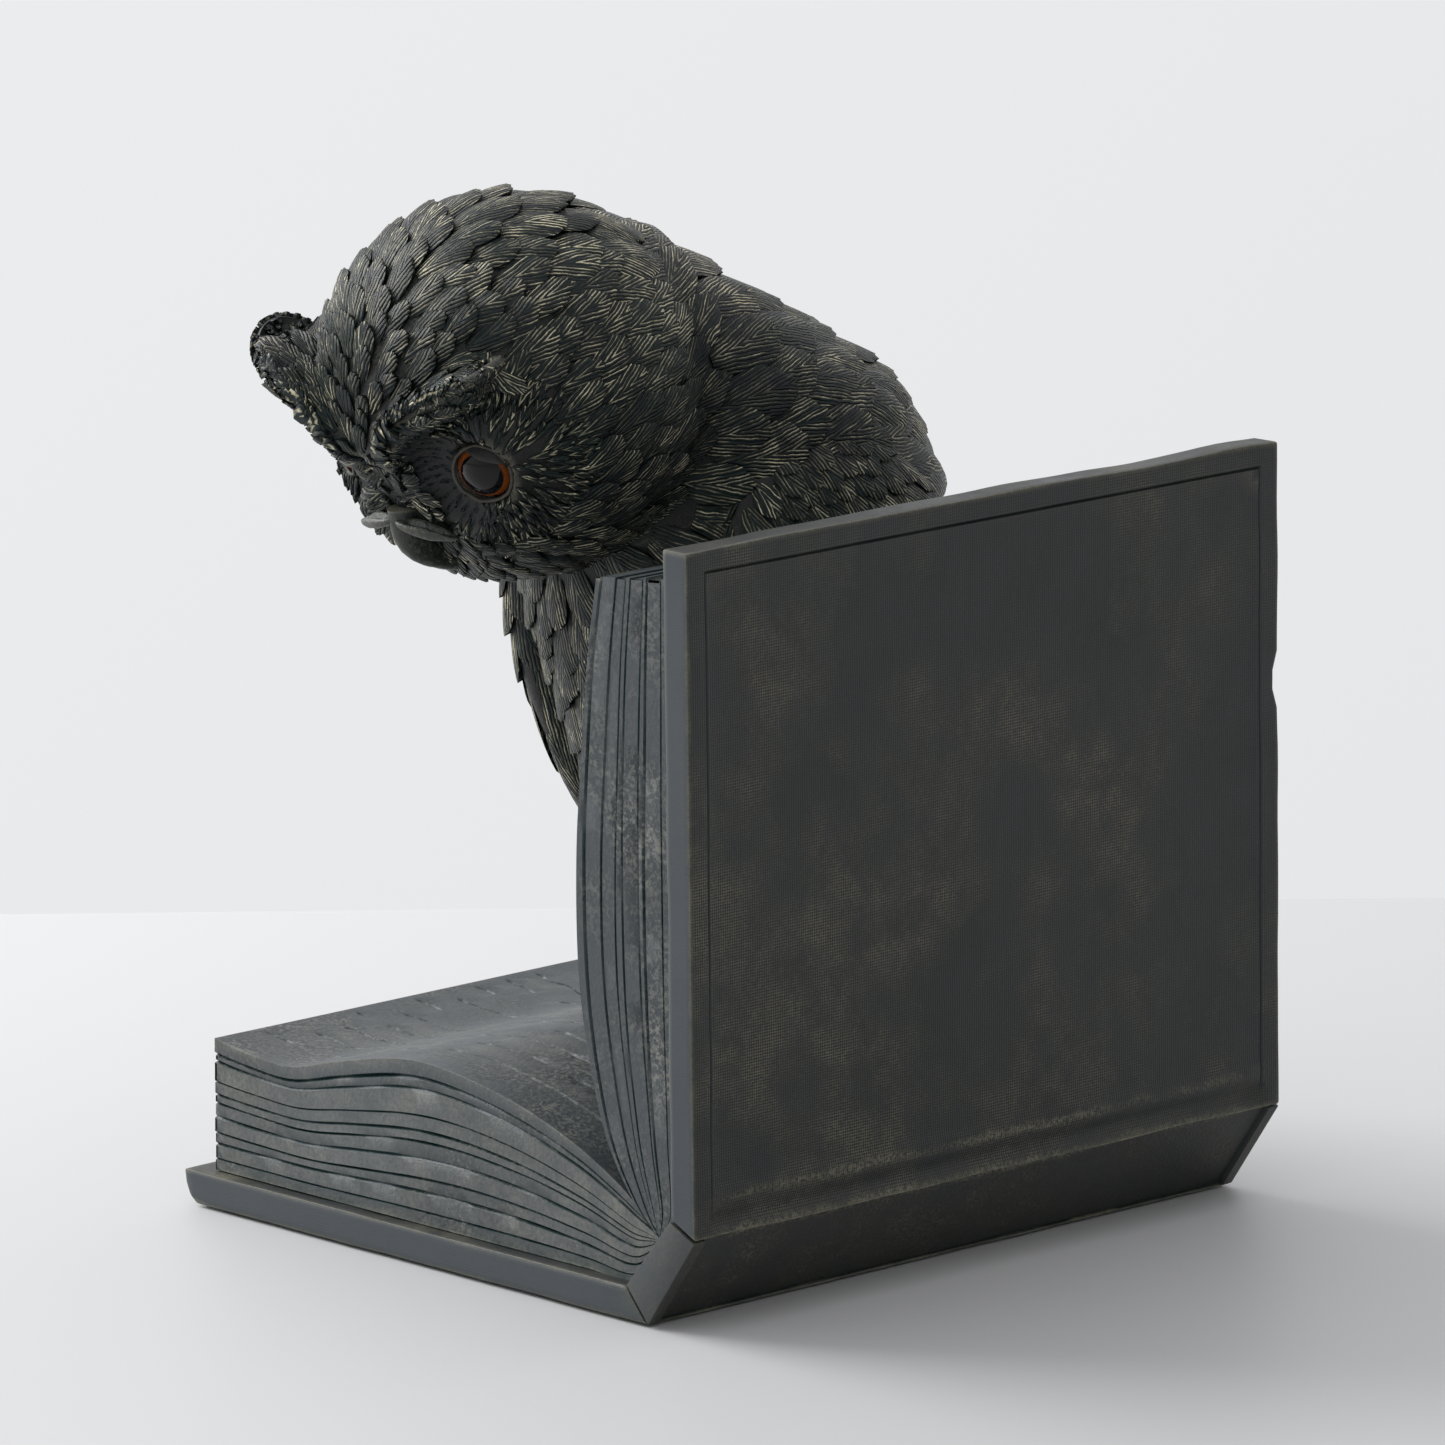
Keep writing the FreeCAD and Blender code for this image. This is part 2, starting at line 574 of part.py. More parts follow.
# Ear tufts: flat rounded lobes let into the brow, hollow side forward.
tufts = {}
for side, sign in (("left", 1), ("right", -1)):
    tuft_tip = FreeCAD.Rotation(V(0, sign, 0), -size("tuft_rise")).multVec(V(sign, 0, 0))
    tuft_tip = FreeCAD.Rotation(V(0, 0, sign), size("tuft_sweep")).multVec(tuft_tip)
    tuft_back = V(-0.42 * sign, 0.89, 0.18)
    tufts[side] = ellipsoid(side + "_ear_tuft", "Size.tuft_girth", "Size.tuft_wide", "Size.tuft_half",
                            OWL_X + (" + " if sign > 0 else " - ") + "Size.tuft_spread",
                            "Size.tuft_place", BOARD_Z + " + Size.tuft_height",
                            FreeCAD.Rotation(tuft_back.cross(tuft_tip), tuft_back, tuft_tip, "ZYX"))

head_tools = [plug_bore, beak, tufts["left"], tufts["right"]]
head_tools += eye_rods["left"][:2] + eye_rods["right"][:2]
head = cut_all("owl_head", common("HeadForm", outer_form, head_side), head_tools)

# Body: the form below the neck, seated on the open page and held to it by two studs.
STUD_Z = BOARD_TOP_Z + " + Size.crest_height + Size.stud_bite - Size.stud_long"
stud_spots = [(OWL_X + sign + "Size.foot_spread", "Size.sole_place") for sign in (" + ", " - ")]
stud_rods = [rod("Stud%d" % number, "Size.stud_radius", "Size.stud_long", x, y, STUD_Z)
             for number, (x, y) in enumerate(stud_spots)]
stud_holes = [rod("StudHole%d" % number, "Size.stud_radius + Size.glue_gap",
                  "Size.stud_long", x, y, STUD_Z)
              for number, (x, y) in enumerate(stud_spots)]
body_form = cut("BodyOutside", cut("BodySide", outer_form, head_side), base_leaves)

# Wings: thin castings shaped to the body's sides, each held by two pins.
pin_rods = []
pin_holes = []
wings = {}
wing_turn = FreeCAD.Rotation(V(1, 0, 0), size("wing_tilt"))
for side, sign, plus in (("left", 1, " + "), ("right", -1, " - ")):
    form = ellipsoid(side.capitalize() + "WingForm", "Size.wing_girth", "Size.wing_wide", "Size.wing_half",
                     OWL_X + plus + "Size.wing_spread", "Size.wing_place", BOARD_Z + " + Size.wing_height",
                     wing_turn)
    inward = V(-sign, 0, 0)
    start = OWL_X + plus + "(Size.breast_wide + Size.pin_long / 2)"
    for level in ("Size.breast_height", "Size.paunch_height"):
        number = len(pin_rods)
        height = BOARD_Z + " + " + level
        pin_rods.append(rod("WingPin%d" % number, "Size.pin_radius", "Size.pin_long",
                            start, "Size.wing_place", height, inward))
        pin_holes.append(rod("WingPinHole%d" % number, "Size.pin_radius + Size.glue_gap",
                             "Size.pin_long", start, "Size.wing_place", height, inward))
    wings[side] = form
body = cut_all("owl_body", body_form, [body_hollow, plug_bore, pour_hole] + stud_holes + pin_holes)
for side, holes in (("left", pin_holes[:2]), ("right", pin_holes[2:])):
    wings[side] = cut_all(side + "_wing", wings[side], [outer_form] + holes)

# Tail: a stiff fan of feathers behind the body, its tip on the page.
tail_turn = FreeCAD.Rotation(V(1, 0, 0), size("tail_tilt"))
tail_form = doc.addObject("Part::Box", "TailForm")
bound(tail_form, Length="Size.tail_wide", Width="Size.tail_thick", Height="Size.tail_long")
tail_corner = V(-size("tail_wide") / 2, -size("tail_thick") / 2, -size("tail_long") / 2)
tail_centre = V(evaluated(OWL_X), size("tail_place"), size("tail_height") + evaluated(BOARD_Z))
tail_form.Placement = FreeCAD.Placement(tail_centre + tail_turn.multVec(tail_corner), tail_turn)
tail = cut_all("tail", tail_form, [body_form, base_leaves])

# Feet: three feathered toes each, let in under the body's front.
feet = {}
for side, sign in (("left", 1), ("right", -1)):
    toes = []
    for number in (-1, 0, 1):
        toe = doc.addObject("Part::Box", "%sToe%d" % (side.capitalize(), number + 1))
        bound(toe, Length="Size.toe_wide", Width="Size.toe_long", Height="Size.toe_high")
        turn = FreeCAD.Rotation(V(0, 0, 1), number * size("toe_fan"))
        root = V(evaluated(OWL_X) + sign * size("foot_spread"), size("foot_place"),
                 evaluated(BOARD_Z) + board_top + size("crest_height") - size("toe_high") / 2)
        corner = V(-size("toe_wide") / 2, -size("toe_long"), 0)
        toe.Placement = FreeCAD.Placement(root + turn.multVec(corner), turn)
        toes.append(toe)
    feet[side] = cut_all(side + "_foot", together(side.capitalize() + "Toes", toes),
                         [body_form, base_leaves])

# ------------------------------------------------------------------ boards and blocks with their holes
base_block = cut_all("base_page_block", base_leaves, [ballast_pocket] + base_dowel_holes + stud_holes)
upright_block = cut_all("upright_page_block", upright_leaves, upright_dowel_holes)
base_board_body.Label = "BaseBoardSlab"
base_board = cut_all("base_board", base_board_body, base_dowel_holes)
upright_board_body.Label = "UprightBoardSlab"
upright_board = cut_all("upright_board", upright_board_body, upright_dowel_holes)

PIECES = {
    "base_board": base_board,
    "upright_board": upright_board,
    "spine_board": spine_body,
    "base_page_block": base_block,
    "upright_page_block": upright_block,
    "ballast_plate": ballast,
    "base_felt": felt_body,
    "base_dowels": group("base_dowels", base_dowel_rods),
    "upright_dowels": group("upright_dowels", upright_dowel_rods),
    "owl_body": body,
    "owl_head": head,
    "neck_plug": plug,
    "left_wing": wings["left"],
    "right_wing": wings["right"],
    "wing_pins": group("wing_pins", pin_rods),
    "tail": tail,
    "left_foot": feet["left"],
    "right_foot": feet["right"],
    "owl_studs": group("owl_studs", stud_rods),
    "beak": beak,
    "left_ear_tuft": tufts["left"],
    "right_ear_tuft": tufts["right"],
    "left_eye_glass": eye_rods["left"][3],
    "right_eye_glass": eye_rods["right"][3],
    "left_eye_iris": eye_rods["left"][2],
    "right_eye_iris": eye_rods["right"][2],
}

doc.recompute()
faults = [thing.Name for thing in doc.Objects if "Invalid" in thing.State or "Error" in thing.State]
assert not faults, "these objects failed: " + ", ".join(faults)

os.makedirs("parts", exist_ok=True)
for node, piece in PIECES.items():
    shape = piece.Shape
    assert not shape.isNull() and shape.isValid(), node + " has no valid shape"
    shape.exportStep("parts/" + node + ".step")
    corners = shape.BoundBox
    print("%-20s %d solid(s) %9.0f mm3  x %.1f..%.1f  y %.1f..%.1f  z %.1f..%.1f" % (
        node, len(shape.Solids), shape.Volume, corners.XMin, corners.XMax, corners.YMin, corners.YMax,
        corners.ZMin, corners.ZMax))
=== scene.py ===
import math
import random

import bmesh
import bpy
from mathutils import Matrix, Vector, noise
from mathutils.bvhtree import BVHTree
from mathutils.kdtree import KDTree


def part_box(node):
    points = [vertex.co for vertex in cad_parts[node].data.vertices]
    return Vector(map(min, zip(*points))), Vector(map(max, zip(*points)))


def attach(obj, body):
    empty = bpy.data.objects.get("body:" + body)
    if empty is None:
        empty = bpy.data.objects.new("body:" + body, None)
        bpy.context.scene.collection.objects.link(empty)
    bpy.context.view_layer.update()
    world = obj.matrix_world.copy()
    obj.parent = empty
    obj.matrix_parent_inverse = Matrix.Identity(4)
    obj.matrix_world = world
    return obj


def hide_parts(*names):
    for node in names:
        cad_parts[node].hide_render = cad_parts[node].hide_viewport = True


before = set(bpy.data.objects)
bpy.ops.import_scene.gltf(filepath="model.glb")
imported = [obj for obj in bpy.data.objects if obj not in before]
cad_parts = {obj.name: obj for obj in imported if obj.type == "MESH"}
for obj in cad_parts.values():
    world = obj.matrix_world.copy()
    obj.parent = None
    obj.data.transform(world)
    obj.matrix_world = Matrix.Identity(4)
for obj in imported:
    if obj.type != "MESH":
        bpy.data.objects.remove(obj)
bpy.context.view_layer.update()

# Base board: the front cover of the open book, a cast resin slab that lies on the shelf. Its fore edge
# slants in at the bottom, its edges are soft from the mould, and its back edge is glued to the spine.
MM = 0.001
cover_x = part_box("upright_board")[1].x
board_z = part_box("base_board")[0].z
half_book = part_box("base_board")[1].y
board_thick = (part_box("base_board")[1].z - board_z) / MM


def feed(node, sockets):
    """Sets a shader node's sockets to values, or links them to other sockets."""
    for name, source in sockets.items():
        if isinstance(source, bpy.types.NodeSocket):
            node.id_data.links.new(source, node.inputs[name])
        else:
            node.inputs[name].default_value = source
    return node


def add(tree, kind, sockets=None, **settings):
    node = tree.nodes.new("ShaderNode" + kind)
    for name, value in settings.items():
        setattr(node, name, value)
    return feed(node, sockets or {})


def ramp(tree, value, start, end, low=0.0, high=1.0):
    """A value taken from start..end to low..high, and held there beyond them."""
    return add(tree, "MapRange", {"Value": value, "From Min": start, "From Max": end,
                                  "To Min": low, "To Max": high}).outputs[0]


def sums(tree, operation, first, second=0.0, third=0.0):
    """One step of arithmetic between sockets."""
    return add(tree, "Math", {0: first, 1: second, 2: third}, operation=operation).outputs[0]


def tinted(tree, share, under, over):
    """Colour over laid on colour under by a share from 0 to 1."""
    under = under if isinstance(under, bpy.types.NodeSocket) else (*under, 1.0)
    over = over if isinstance(over, bpy.types.NodeSocket) else (*over, 1.0)
    return add(tree, "Mix", {0: share, 6: under, 7: over}, data_type="RGBA").outputs[2]


def clouds(tree, where, scale, detail=4.0, roughness=0.6):
    return add(tree, "TexNoise", {"Vector": where, "Scale": scale, "Detail": detail,
                                  "Roughness": roughness}).outputs[0]


def patina(name, ground, recess, rubbed, wear=0.5, speckle=900.0, weave=0.0, bump=0.35, gloss=0.5, ends=None,
           ridges=(), edge_wear=0.9):
    """Cast resin painted dark, with a wash left in its recesses and pale dry brushing on what stands up.
    A weave is cloth relief, ends is the colour of the smooth faces square to the book's length, and ridges
    are heights in metres along which the brushing has caught. edge_wear is how bare the corners are."""
    material = bpy.data.materials.new(name)
    material.use_nodes = True
    tree = material.node_tree
    shader = tree.nodes["Principled BSDF"]
    where = add(tree, "TexCoord").outputs["Object"]
    drift = clouds(tree, where, 22.0, 5.0)
    blotch = clouds(tree, where, 90.0, 6.0, 0.7)
    grain = clouds(tree, where, speckle, 3.0, 0.7)
    edge = add(tree, "NewGeometry").outputs["Pointiness"]
    hollow = add(tree, "AmbientOcclusion", {"Distance": 3.5 * MM}, samples=6).outputs["AO"]
    colour = tinted(tree, ramp(tree, drift, 0.35, 0.65), ground, tuple(part * 0.62 for part in ground))
    if ends:
        facing = add(tree, "SeparateXYZ", {0: add(tree, "NewGeometry").outputs["Normal"]}).outputs[1]
        endwise = ramp(tree, sums(tree, "ABSOLUTE", facing), 0.55, 0.9)
        colour = tinted(tree, endwise, colour, ends)
    colour = tinted(tree, ramp(tree, hollow, 0.85, 0.35), colour, recess)
    brushed = sums(tree, "MULTIPLY", ramp(tree, blotch, 0.38, 0.66, 0.12, 1.0), ramp(tree, drift, 0.44, 0.60, 0.06, 1.0))
    relief = grain
    if weave:
        threads = [add(tree, "TexWave", {"Vector": where, "Scale": weave, "Distortion": 0.8, "Detail": 2.0,
                                         "Detail Scale": 4.0}, bands_direction=run).outputs["Fac"]
                   for run in ("Y", "Z")]
        relief = sums(tree, "MULTIPLY", sums(tree, "ADD", *threads), 0.5)
        relief = sums(tree, "ADD", sums(tree, "MULTIPLY", relief, 0.5), sums(tree, "MULTIPLY", grain, 0.5))
    if ends:
        relief = sums(tree, "MULTIPLY", relief, ramp(tree, endwise, 0.0, 1.0, 1.0, 0.35))
    brushed = sums(tree, "MULTIPLY", brushed, ramp(tree, relief, 0.46, 0.60, 0.0, wear))
    for level, half in ridges:
        high = add(tree, "SeparateXYZ", {0: where}).outputs[2]
        off = sums(tree, "ABSOLUTE", sums(tree, "SUBTRACT", sums(tree, "MULTIPLY_ADD", blotch, -0.004, high), level - 0.002))
        caught = sums(tree, "MULTIPLY", ramp(tree, off, half, 0.2 * half), ramp(tree, grain, 0.42, 0.56, 0.0, 0.8))
        caught = sums(tree, "MULTIPLY", caught, ramp(tree, drift, 0.42, 0.58, 0.0, 0.7))
        from_middle = sums(tree, "ABSOLUTE", add(tree, "SeparateXYZ", {0: where}).outputs[1])
        caught = sums(tree, "MULTIPLY", caught, ramp(tree, from_middle, half_book - 0.003, half_book - 0.012))
        brushed = sums(tree, "MAXIMUM", brushed, caught)
    worn = sums(tree, "MULTIPLY", ramp(tree, edge, 0.515, 0.58),
                ramp(tree, blotch, 0.3, 0.6, 0.17 * edge_wear, edge_wear))
    worn = sums(tree, "MULTIPLY", worn, ramp(tree, grain, 0.3, 0.6, 0.4, 1.0))
    colour = tinted(tree, sums(tree, "MAXIMUM", brushed, worn), colour, rubbed)
    rough = add(tree, "Bump", {"Height": relief, "Strength": bump, "Distance": 0.25 * MM})
    feed(shader, {"Base Color": colour, "Normal": rough.outputs[0],
                  "Roughness": ramp(tree, blotch, 0.3, 0.7, gloss - 0.08, gloss + 0.12),
                  "Specular IOR Level": 0.45})
    return material


def finished(name, form, material, nodes, smooth_below=40.0):
    """Makes a bmesh into a shown piece that stands for CAD nodes."""
    mesh = bpy.data.meshes.new(name)
    form.to_mesh(mesh)
    form.free()
    mesh.materials.append(material)
    piece = bpy.data.objects.new(name, mesh)
    bpy.context.scene.collection.objects.link(piece)
    mesh.shade_smooth()
    mesh.set_sharp_from_angle(angle=math.radians(smooth_below))
    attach(piece, "root")
    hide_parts(*nodes)
    return piece


def sliced(form, axis, places):
    """Cuts a form by planes square to an axis, so that its faces can bend and take grooves there."""
    normal = Vector((0.0, 0.0, 0.0))
    normal[axis] = 1.0
    for place in places:
        point = Vector((0.0, 0.0, 0.0))
        point[axis] = place
        bmesh.ops.bisect_plane(form, geom=form.verts[:] + form.edges[:] + form.faces[:], dist=1e-7,
                               plane_co=point, plane_no=normal)


def spaced(low, high, step):
    count = max(1, round((high - low) / step))
    return [low + (high - low) * number / count for number in range(1, count)]


def board_form(corners, soft=0.8):
    """A slab along Y from its section, given in mm from the cover's outer face and the board's underside."""
    form = bmesh.new()
    rim = [form.verts.new((cover_x + x * MM, -half_book, board_z + z * MM)) for x, z in corners]
    grown = bmesh.ops.extrude_face_region(form, geom=[form.faces.new(rim)])
    moved = [part for part in grown["geom"] if isinstance(part, bmesh.types.BMVert)]
    bmesh.ops.translate(form, verts=moved, vec=(0.0, 2.0 * half_book, 0.0))
    bmesh.ops.recalc_face_normals(form, faces=form.faces)
    sharp = [edge for edge in form.edges if edge.calc_face_angle(0.0) > math.radians(28.0)]
    bmesh.ops.bevel(form, geom=sharp, offset=soft * MM, offset_type="OFFSET", segments=2, profile=0.5,
                    affect="EDGES", material=-1, clamp_overlap=True)
    return form


def eased(value, start, end):
    """0 below start, 1 above end, and smooth between; start may be the larger."""
    share = min(1.0, max(0.0, (value - start) / (end - start)))
    return share * share * (3.0 - 2.0 * share)


def hand_worn(form, depth, size):
    """Moves a form's points in and out a little, as a hand-made pattern is."""
    form.normal_update()
    for vert in form.verts:
        vert.co -= vert.normal * depth * MM * (0.5 + 0.5 * noise.noise(vert.co / (size * MM)))


EDGE_IN = 1.7
cover_paint = patina("cover_patina", (0.019, 0.022, 0.022), (0.008, 0.017, 0.016), (0.24, 0.225, 0.155),
                     wear=0.5, speckle=1500.0, weave=520.0, bump=0.7, gloss=0.44,
                     ends=(0.046, 0.056, 0.064), ridges=((0.0205, 0.0017), (0.0279, 0.0016)))
base_form = board_form([(-154.5, 0.0), (-14.3, 0.0), (-21.0, board_thick), (-158.5, board_thick),
                        (-158.0, 4.2), (-156.8, 1.6)])
sliced(base_form, 1, spaced(-half_book, half_book, 4.0 * MM))
sliced(base_form, 0, [cover_x - 0.1555] + spaced(cover_x - 0.155, cover_x - 0.022, 6.0 * MM))
sliced(base_form, 1, [side * (half_book - EDGE_IN * MM) for side in (-1, 1)])
sliced(base_form, 2, [board_z + EDGE_IN * MM, board_z + (board_thick - EDGE_IN) * MM])
hand_worn(base_form, 0.5, 14.0)
finished("base_board_slab", base_form, cover_paint, ["base_board"])

# Spine board: the slanted strip between the covers, cast with a raised bead along each of its ends and
# glued to both boards on mitres.
spine_form = board_form([(-14.3, 0.0), (0.0, 19.5), (-7.5, 23.0), (-21.0, 7.5)], 0.5)
BEAD_WIDE = 3.2
sliced(spine_form, 1, spaced(-half_book, half_book, 4.0 * MM)
       + [side * (half_book - wide * MM) for side in (-1, 1) for wide in (1.2, BEAD_WIDE, BEAD_WIDE + 0.5)])
slant = Vector((19.5, 0.0, -14.3)).normalized()
for vert in spine_form.verts:
    from_end = (half_book - abs(vert.co.y)) / MM
    outer = (vert.co - Vector((cover_x - 14.3 * MM, 0.0, board_z))).dot(slant) > -1.2 * MM
    if outer and from_end > BEAD_WIDE + 0.3:
        vert.co -= slant * 0.9 * MM
hand_worn(spine_form, 0.4, 9.0)
spine_paint = patina("spine_patina", (0.017, 0.021, 0.020), (0.008, 0.017, 0.016), (0.24, 0.225, 0.155),
                     wear=0.35, speckle=1500.0, bump=0.9, gloss=0.48, ends=(0.030, 0.037, 0.043),
                     ridges=((0.0205, 0.0017),), edge_wear=0.22)
finished("spine_slab", spine_form, spine_paint, ["spine_board"])

# Upright board: the back cover that carries the row of books. Its outer face has linen cloth, a border
# line scored inside three edges, and a hinge channel between two ridges above the spine.
LINE_IN = 5.5
LINE_HALF = 0.35
SCORE_DEEP = 0.5
FIELD_SUNK = 0.35
cover_top = (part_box("upright_board")[1].z - board_z) / MM
CHANNEL_HIGH = 23.1
CHANNEL_DEEP = 1.35
upright_form = board_form([(0.0, 19.5), (0.0, cover_top), (-7.5, cover_top), (-7.5, 23.0)])
line_y = half_book - LINE_IN * MM
line_z = board_z + (cover_top - LINE_IN) * MM
sliced(upright_form, 1, spaced(-half_book, half_book, 4.0 * MM)
       + [side * (line_y + off * MM) for side in (-1, 1) for off in (-LINE_HALF, 0.0, LINE_HALF)])
sliced(upright_form, 2, spaced(board_z + 0.036, board_z + 0.160, 4.0 * MM) + spaced(board_z + 0.0205, board_z + 0.034, 0.8 * MM)
       + [line_z + off * MM for off in (-LINE_HALF, 0.0, LINE_HALF)] + [board_z + (cover_top - EDGE_IN) * MM])
sliced(upright_form, 0, [cover_x - EDGE_IN * MM, cover_x - (board_thick - EDGE_IN) * MM])
sliced(upright_form, 1, [side * (half_book - EDGE_IN * MM) for side in (-1, 1)])
CHIP = Vector((cover_x, half_book, board_z + 0.110))
hand_worn(upright_form, 0.55, 16.0)
for vert in upright_form.verts:
    outer = vert.co.x > cover_x - 1.2 * MM
    high = board_z + 0.024 < vert.co.z < line_z + 0.1 * MM
    on_side = abs(abs(vert.co.y) - line_y) < 0.1 * MM and high
    on_top = abs(vert.co.z - line_z) < 0.1 * MM and abs(vert.co.y) < line_y + 0.1 * MM
    if outer and (on_side or on_top):
        vert.co.x -= SCORE_DEEP * MM
    if outer:
        high = (vert.co.z - board_z) / MM
        inside = eased((half_book - abs(vert.co.y)) / MM, 3.6, 8.5)
        vert.co.x -= CHANNEL_DEEP * MM * inside * math.exp(-((high - CHANNEL_HIGH) / 2.3) ** 2)
        vert.co.x -= FIELD_SUNK * MM * inside * eased(high, 28.5, 31.0)
    if vert.co.z > line_z + 3.0 * MM:
        vert.co.z -= 0.5 * MM * (1.0 + noise.noise(Vector((vert.co.y / 0.03, 0.0, 4.0))))
    if (vert.co - CHIP).length < 3.0 * MM:
        vert.co += (Vector((cover_x - 0.004, 0.0, vert.co.z)) - vert.co).normalized() * 1.2 * MM
finished("upright_board_slab", upright_form, cover_paint, ["upright_board"])

# Felt, ballast, dowels, studs, pins and plug: the parts that the assembled book end hides. The felt is a
# thin green-black pad in the base board's recess, and the rest are plain steel and bare resin.


def plain(name, colour, roughness, metallic=0.0, bump=0.0, scale=1500.0):
    material = bpy.data.materials.new(name)
    material.use_nodes = True
    tree = material.node_tree
    where = add(tree, "TexCoord").outputs["Object"]
    grain = clouds(tree, where, scale)
    shade = tinted(tree, grain, tuple(part * 0.8 for part in colour), tuple(part * 1.2 for part in colour))
    feed(tree.nodes["Principled BSDF"], {"Base Color": shade, "Roughness": roughness, "Metallic": metallic})
    if bump:
        relief = add(tree, "Bump", {"Height": grain, "Strength": bump, "Distance": 0.3 * MM})
        feed(tree.nodes["Principled BSDF"], {"Normal": relief.outputs[0]})
    return material


def dress(material, *names):
    """Gives CAD nodes that are shown as they are a material."""
    for name in names:
        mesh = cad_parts[name].data
        mesh.materials.clear()
        mesh.materials.append(material)


dress(plain("felt_cloth", (0.022, 0.030, 0.026), 0.95, bump=0.8), "base_felt")
dress(plain("brushed_steel", (0.52, 0.52, 0.53), 0.35, 1.0), "ballast_plate", "base_dowels",
      "upright_dowels", "wing_pins", "owl_studs")
dress(plain("bare_resin", (0.35, 0.35, 0.33), 0.6), "neck_plug")

# Page blocks: each half of the open book is one casting whose ends and fore edge are cut into leaf
# gatherings that run together at the gutter. The open page has rows of broken wavy strokes cut in it.
half_base_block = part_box("base_page_block")[1].y
half_upright_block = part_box("upright_page_block")[1].y
page_paint = patina("page_patina", (0.050, 0.062, 0.070), (0.008, 0.034, 0.034), (0.34, 0.34, 0.29),
                    wear=0.5, speckle=1000.0, bump=0.7, gloss=0.45)


def along(points, share):
    """A point on a smooth curve through points, at a share of the way."""
    reach = share * (len(points) - 1)
    first = min(int(reach), len(points) - 2)
    t = reach - first
    spots = [Vector(points[max(0, min(len(points) - 1, first + step))]) for step in (-1, 0, 1, 2)]
    return 0.5 * (2.0 * spots[1] + t * (spots[2] - spots[0])
                  + t * t * (2.0 * spots[0] - 5.0 * spots[1] + 4.0 * spots[2] - spots[3])
                  + t * t * t * (3.0 * spots[1] - spots[0] - 3.0 * spots[2] + spots[3]))


def page_block(name, node, outer_line, page_line, half_long, leaves, rows, seed):
    """A page block between the line along its board and the line of its open page, both in mm. The unit
    box's X runs from the fore edge to the gutter, its Y along the book, and its Z through the leaves."""
    rng = random.Random(seed)
    form = bmesh.new()
    bmesh.ops.create_cube(form, size=1.0)
    bmesh.ops.translate(form, verts=form.verts, vec=(0.5, 0.0, 0.5))
    seams = sorted((number + rng.uniform(-0.33, 0.33)) / leaves for number in range(1, leaves))
    rims = [rng.uniform(0.06, 0.15) / leaves for seam in seams]
    sliced(form, 2, [seam + rim * side for seam, rim in zip(seams, rims) for side in (-1, 0, 1)]
           + [0.02, 0.98])
    sliced(form, 0, [0.006] + spaced(0.0, 1.0, 1.0 / 64.0))
    row_spots = [(number + 0.5) / rows - 0.5 for number in range(rows)]
    row_half = 0.55 * MM / (2.0 * half_long)
    sliced(form, 1, [-0.4965, 0.4965] + [spot + row_half * side for spot in row_spots for side in (-1, 0, 1)]
           + [number / rows - 0.5 for number in range(1, rows)])
    ends = [rng.uniform(0.0, 0.7) for leaf in range(leaves)]
    fores = [rng.uniform(0.0, 1.1) for leaf in range(leaves)]
    for vert in form.verts:
        t, y, s = vert.co
        leaf = sum(1 for seam in seams if seam < s)
        seam = min(range(len(seams)), key=lambda number: abs(seams[number] - s))
        in_seam = abs(seams[seam] - s) < 0.1 * rims[seam]
        sway = noise.noise(Vector((t * 3.2, seam * 1.7 + seed, 0.0))) * 0.16 / leaves * min(1.0, 6.0 * (1.0 - t))
        bent = s + (sway if 0.01 < s < 0.99 else 0.0)
        spot = along(outer_line, t).lerp(along(page_line, t), bent)
        groove = (0.35 + 1.5 * abs(noise.noise(Vector((t * 9.0, seam * 3.1, seed * 1.3))))) if in_seam else 0.0
        reach = 2.0 * half_long * y
        page_wave = noise.noise(Vector((spot[0] / 40.0, y * 3.0, seed))) * 0.5
        if abs(y) > 0.499:
            reach -= math.copysign((ends[leaf] * 0.5 + groove * min(1.0, 8.0 * (1.0 - t))) * MM, y)
        place = Vector((cover_x + spot[0] * MM, reach, board_z + spot[1] * MM))
        inward = (along(outer_line, t) - along(page_line, t)).normalized()
        inward = Vector((inward[0], 0.0, inward[1]))
        gutterward = along(page_line, min(1.0, t + 0.02)) - along(page_line, max(0.0, t - 0.02))
        gutterward = Vector((gutterward[0], 0.0, gutterward[1])).normalized()
        if t < 0.001:
            place += gutterward * (fores[leaf] + groove * 1.1) * MM
        if s > 0.999:
            place += inward * (0.25 + 0.25 * page_wave) * MM
            row = min(row_spots, key=lambda spot_y: abs(spot_y - y))
            if abs(row - y) < 0.2 * row_half and 0.04 < t < 0.86 and abs(y) < 0.47:
                stroke = noise.noise(Vector((t * 11.0, row * 90.0, seed * 2.0)))
                wave = noise.noise(Vector((t * 22.0, row * 40.0, 5.0)))
                place.y += wave * 1.3 * MM
                if stroke > -0.05:
                    place += inward * 1.15 * MM
            elif abs(row - y) < 1.2 * row_half:
                wave = noise.noise(Vector((t * 22.0, row * 40.0, 5.0)))
                place.y += wave * 1.3 * MM
        vert.co = place
    bmesh.ops.recalc_face_normals(form, faces=form.faces)
    return finished(name, form, page_paint, [node], 50.0)


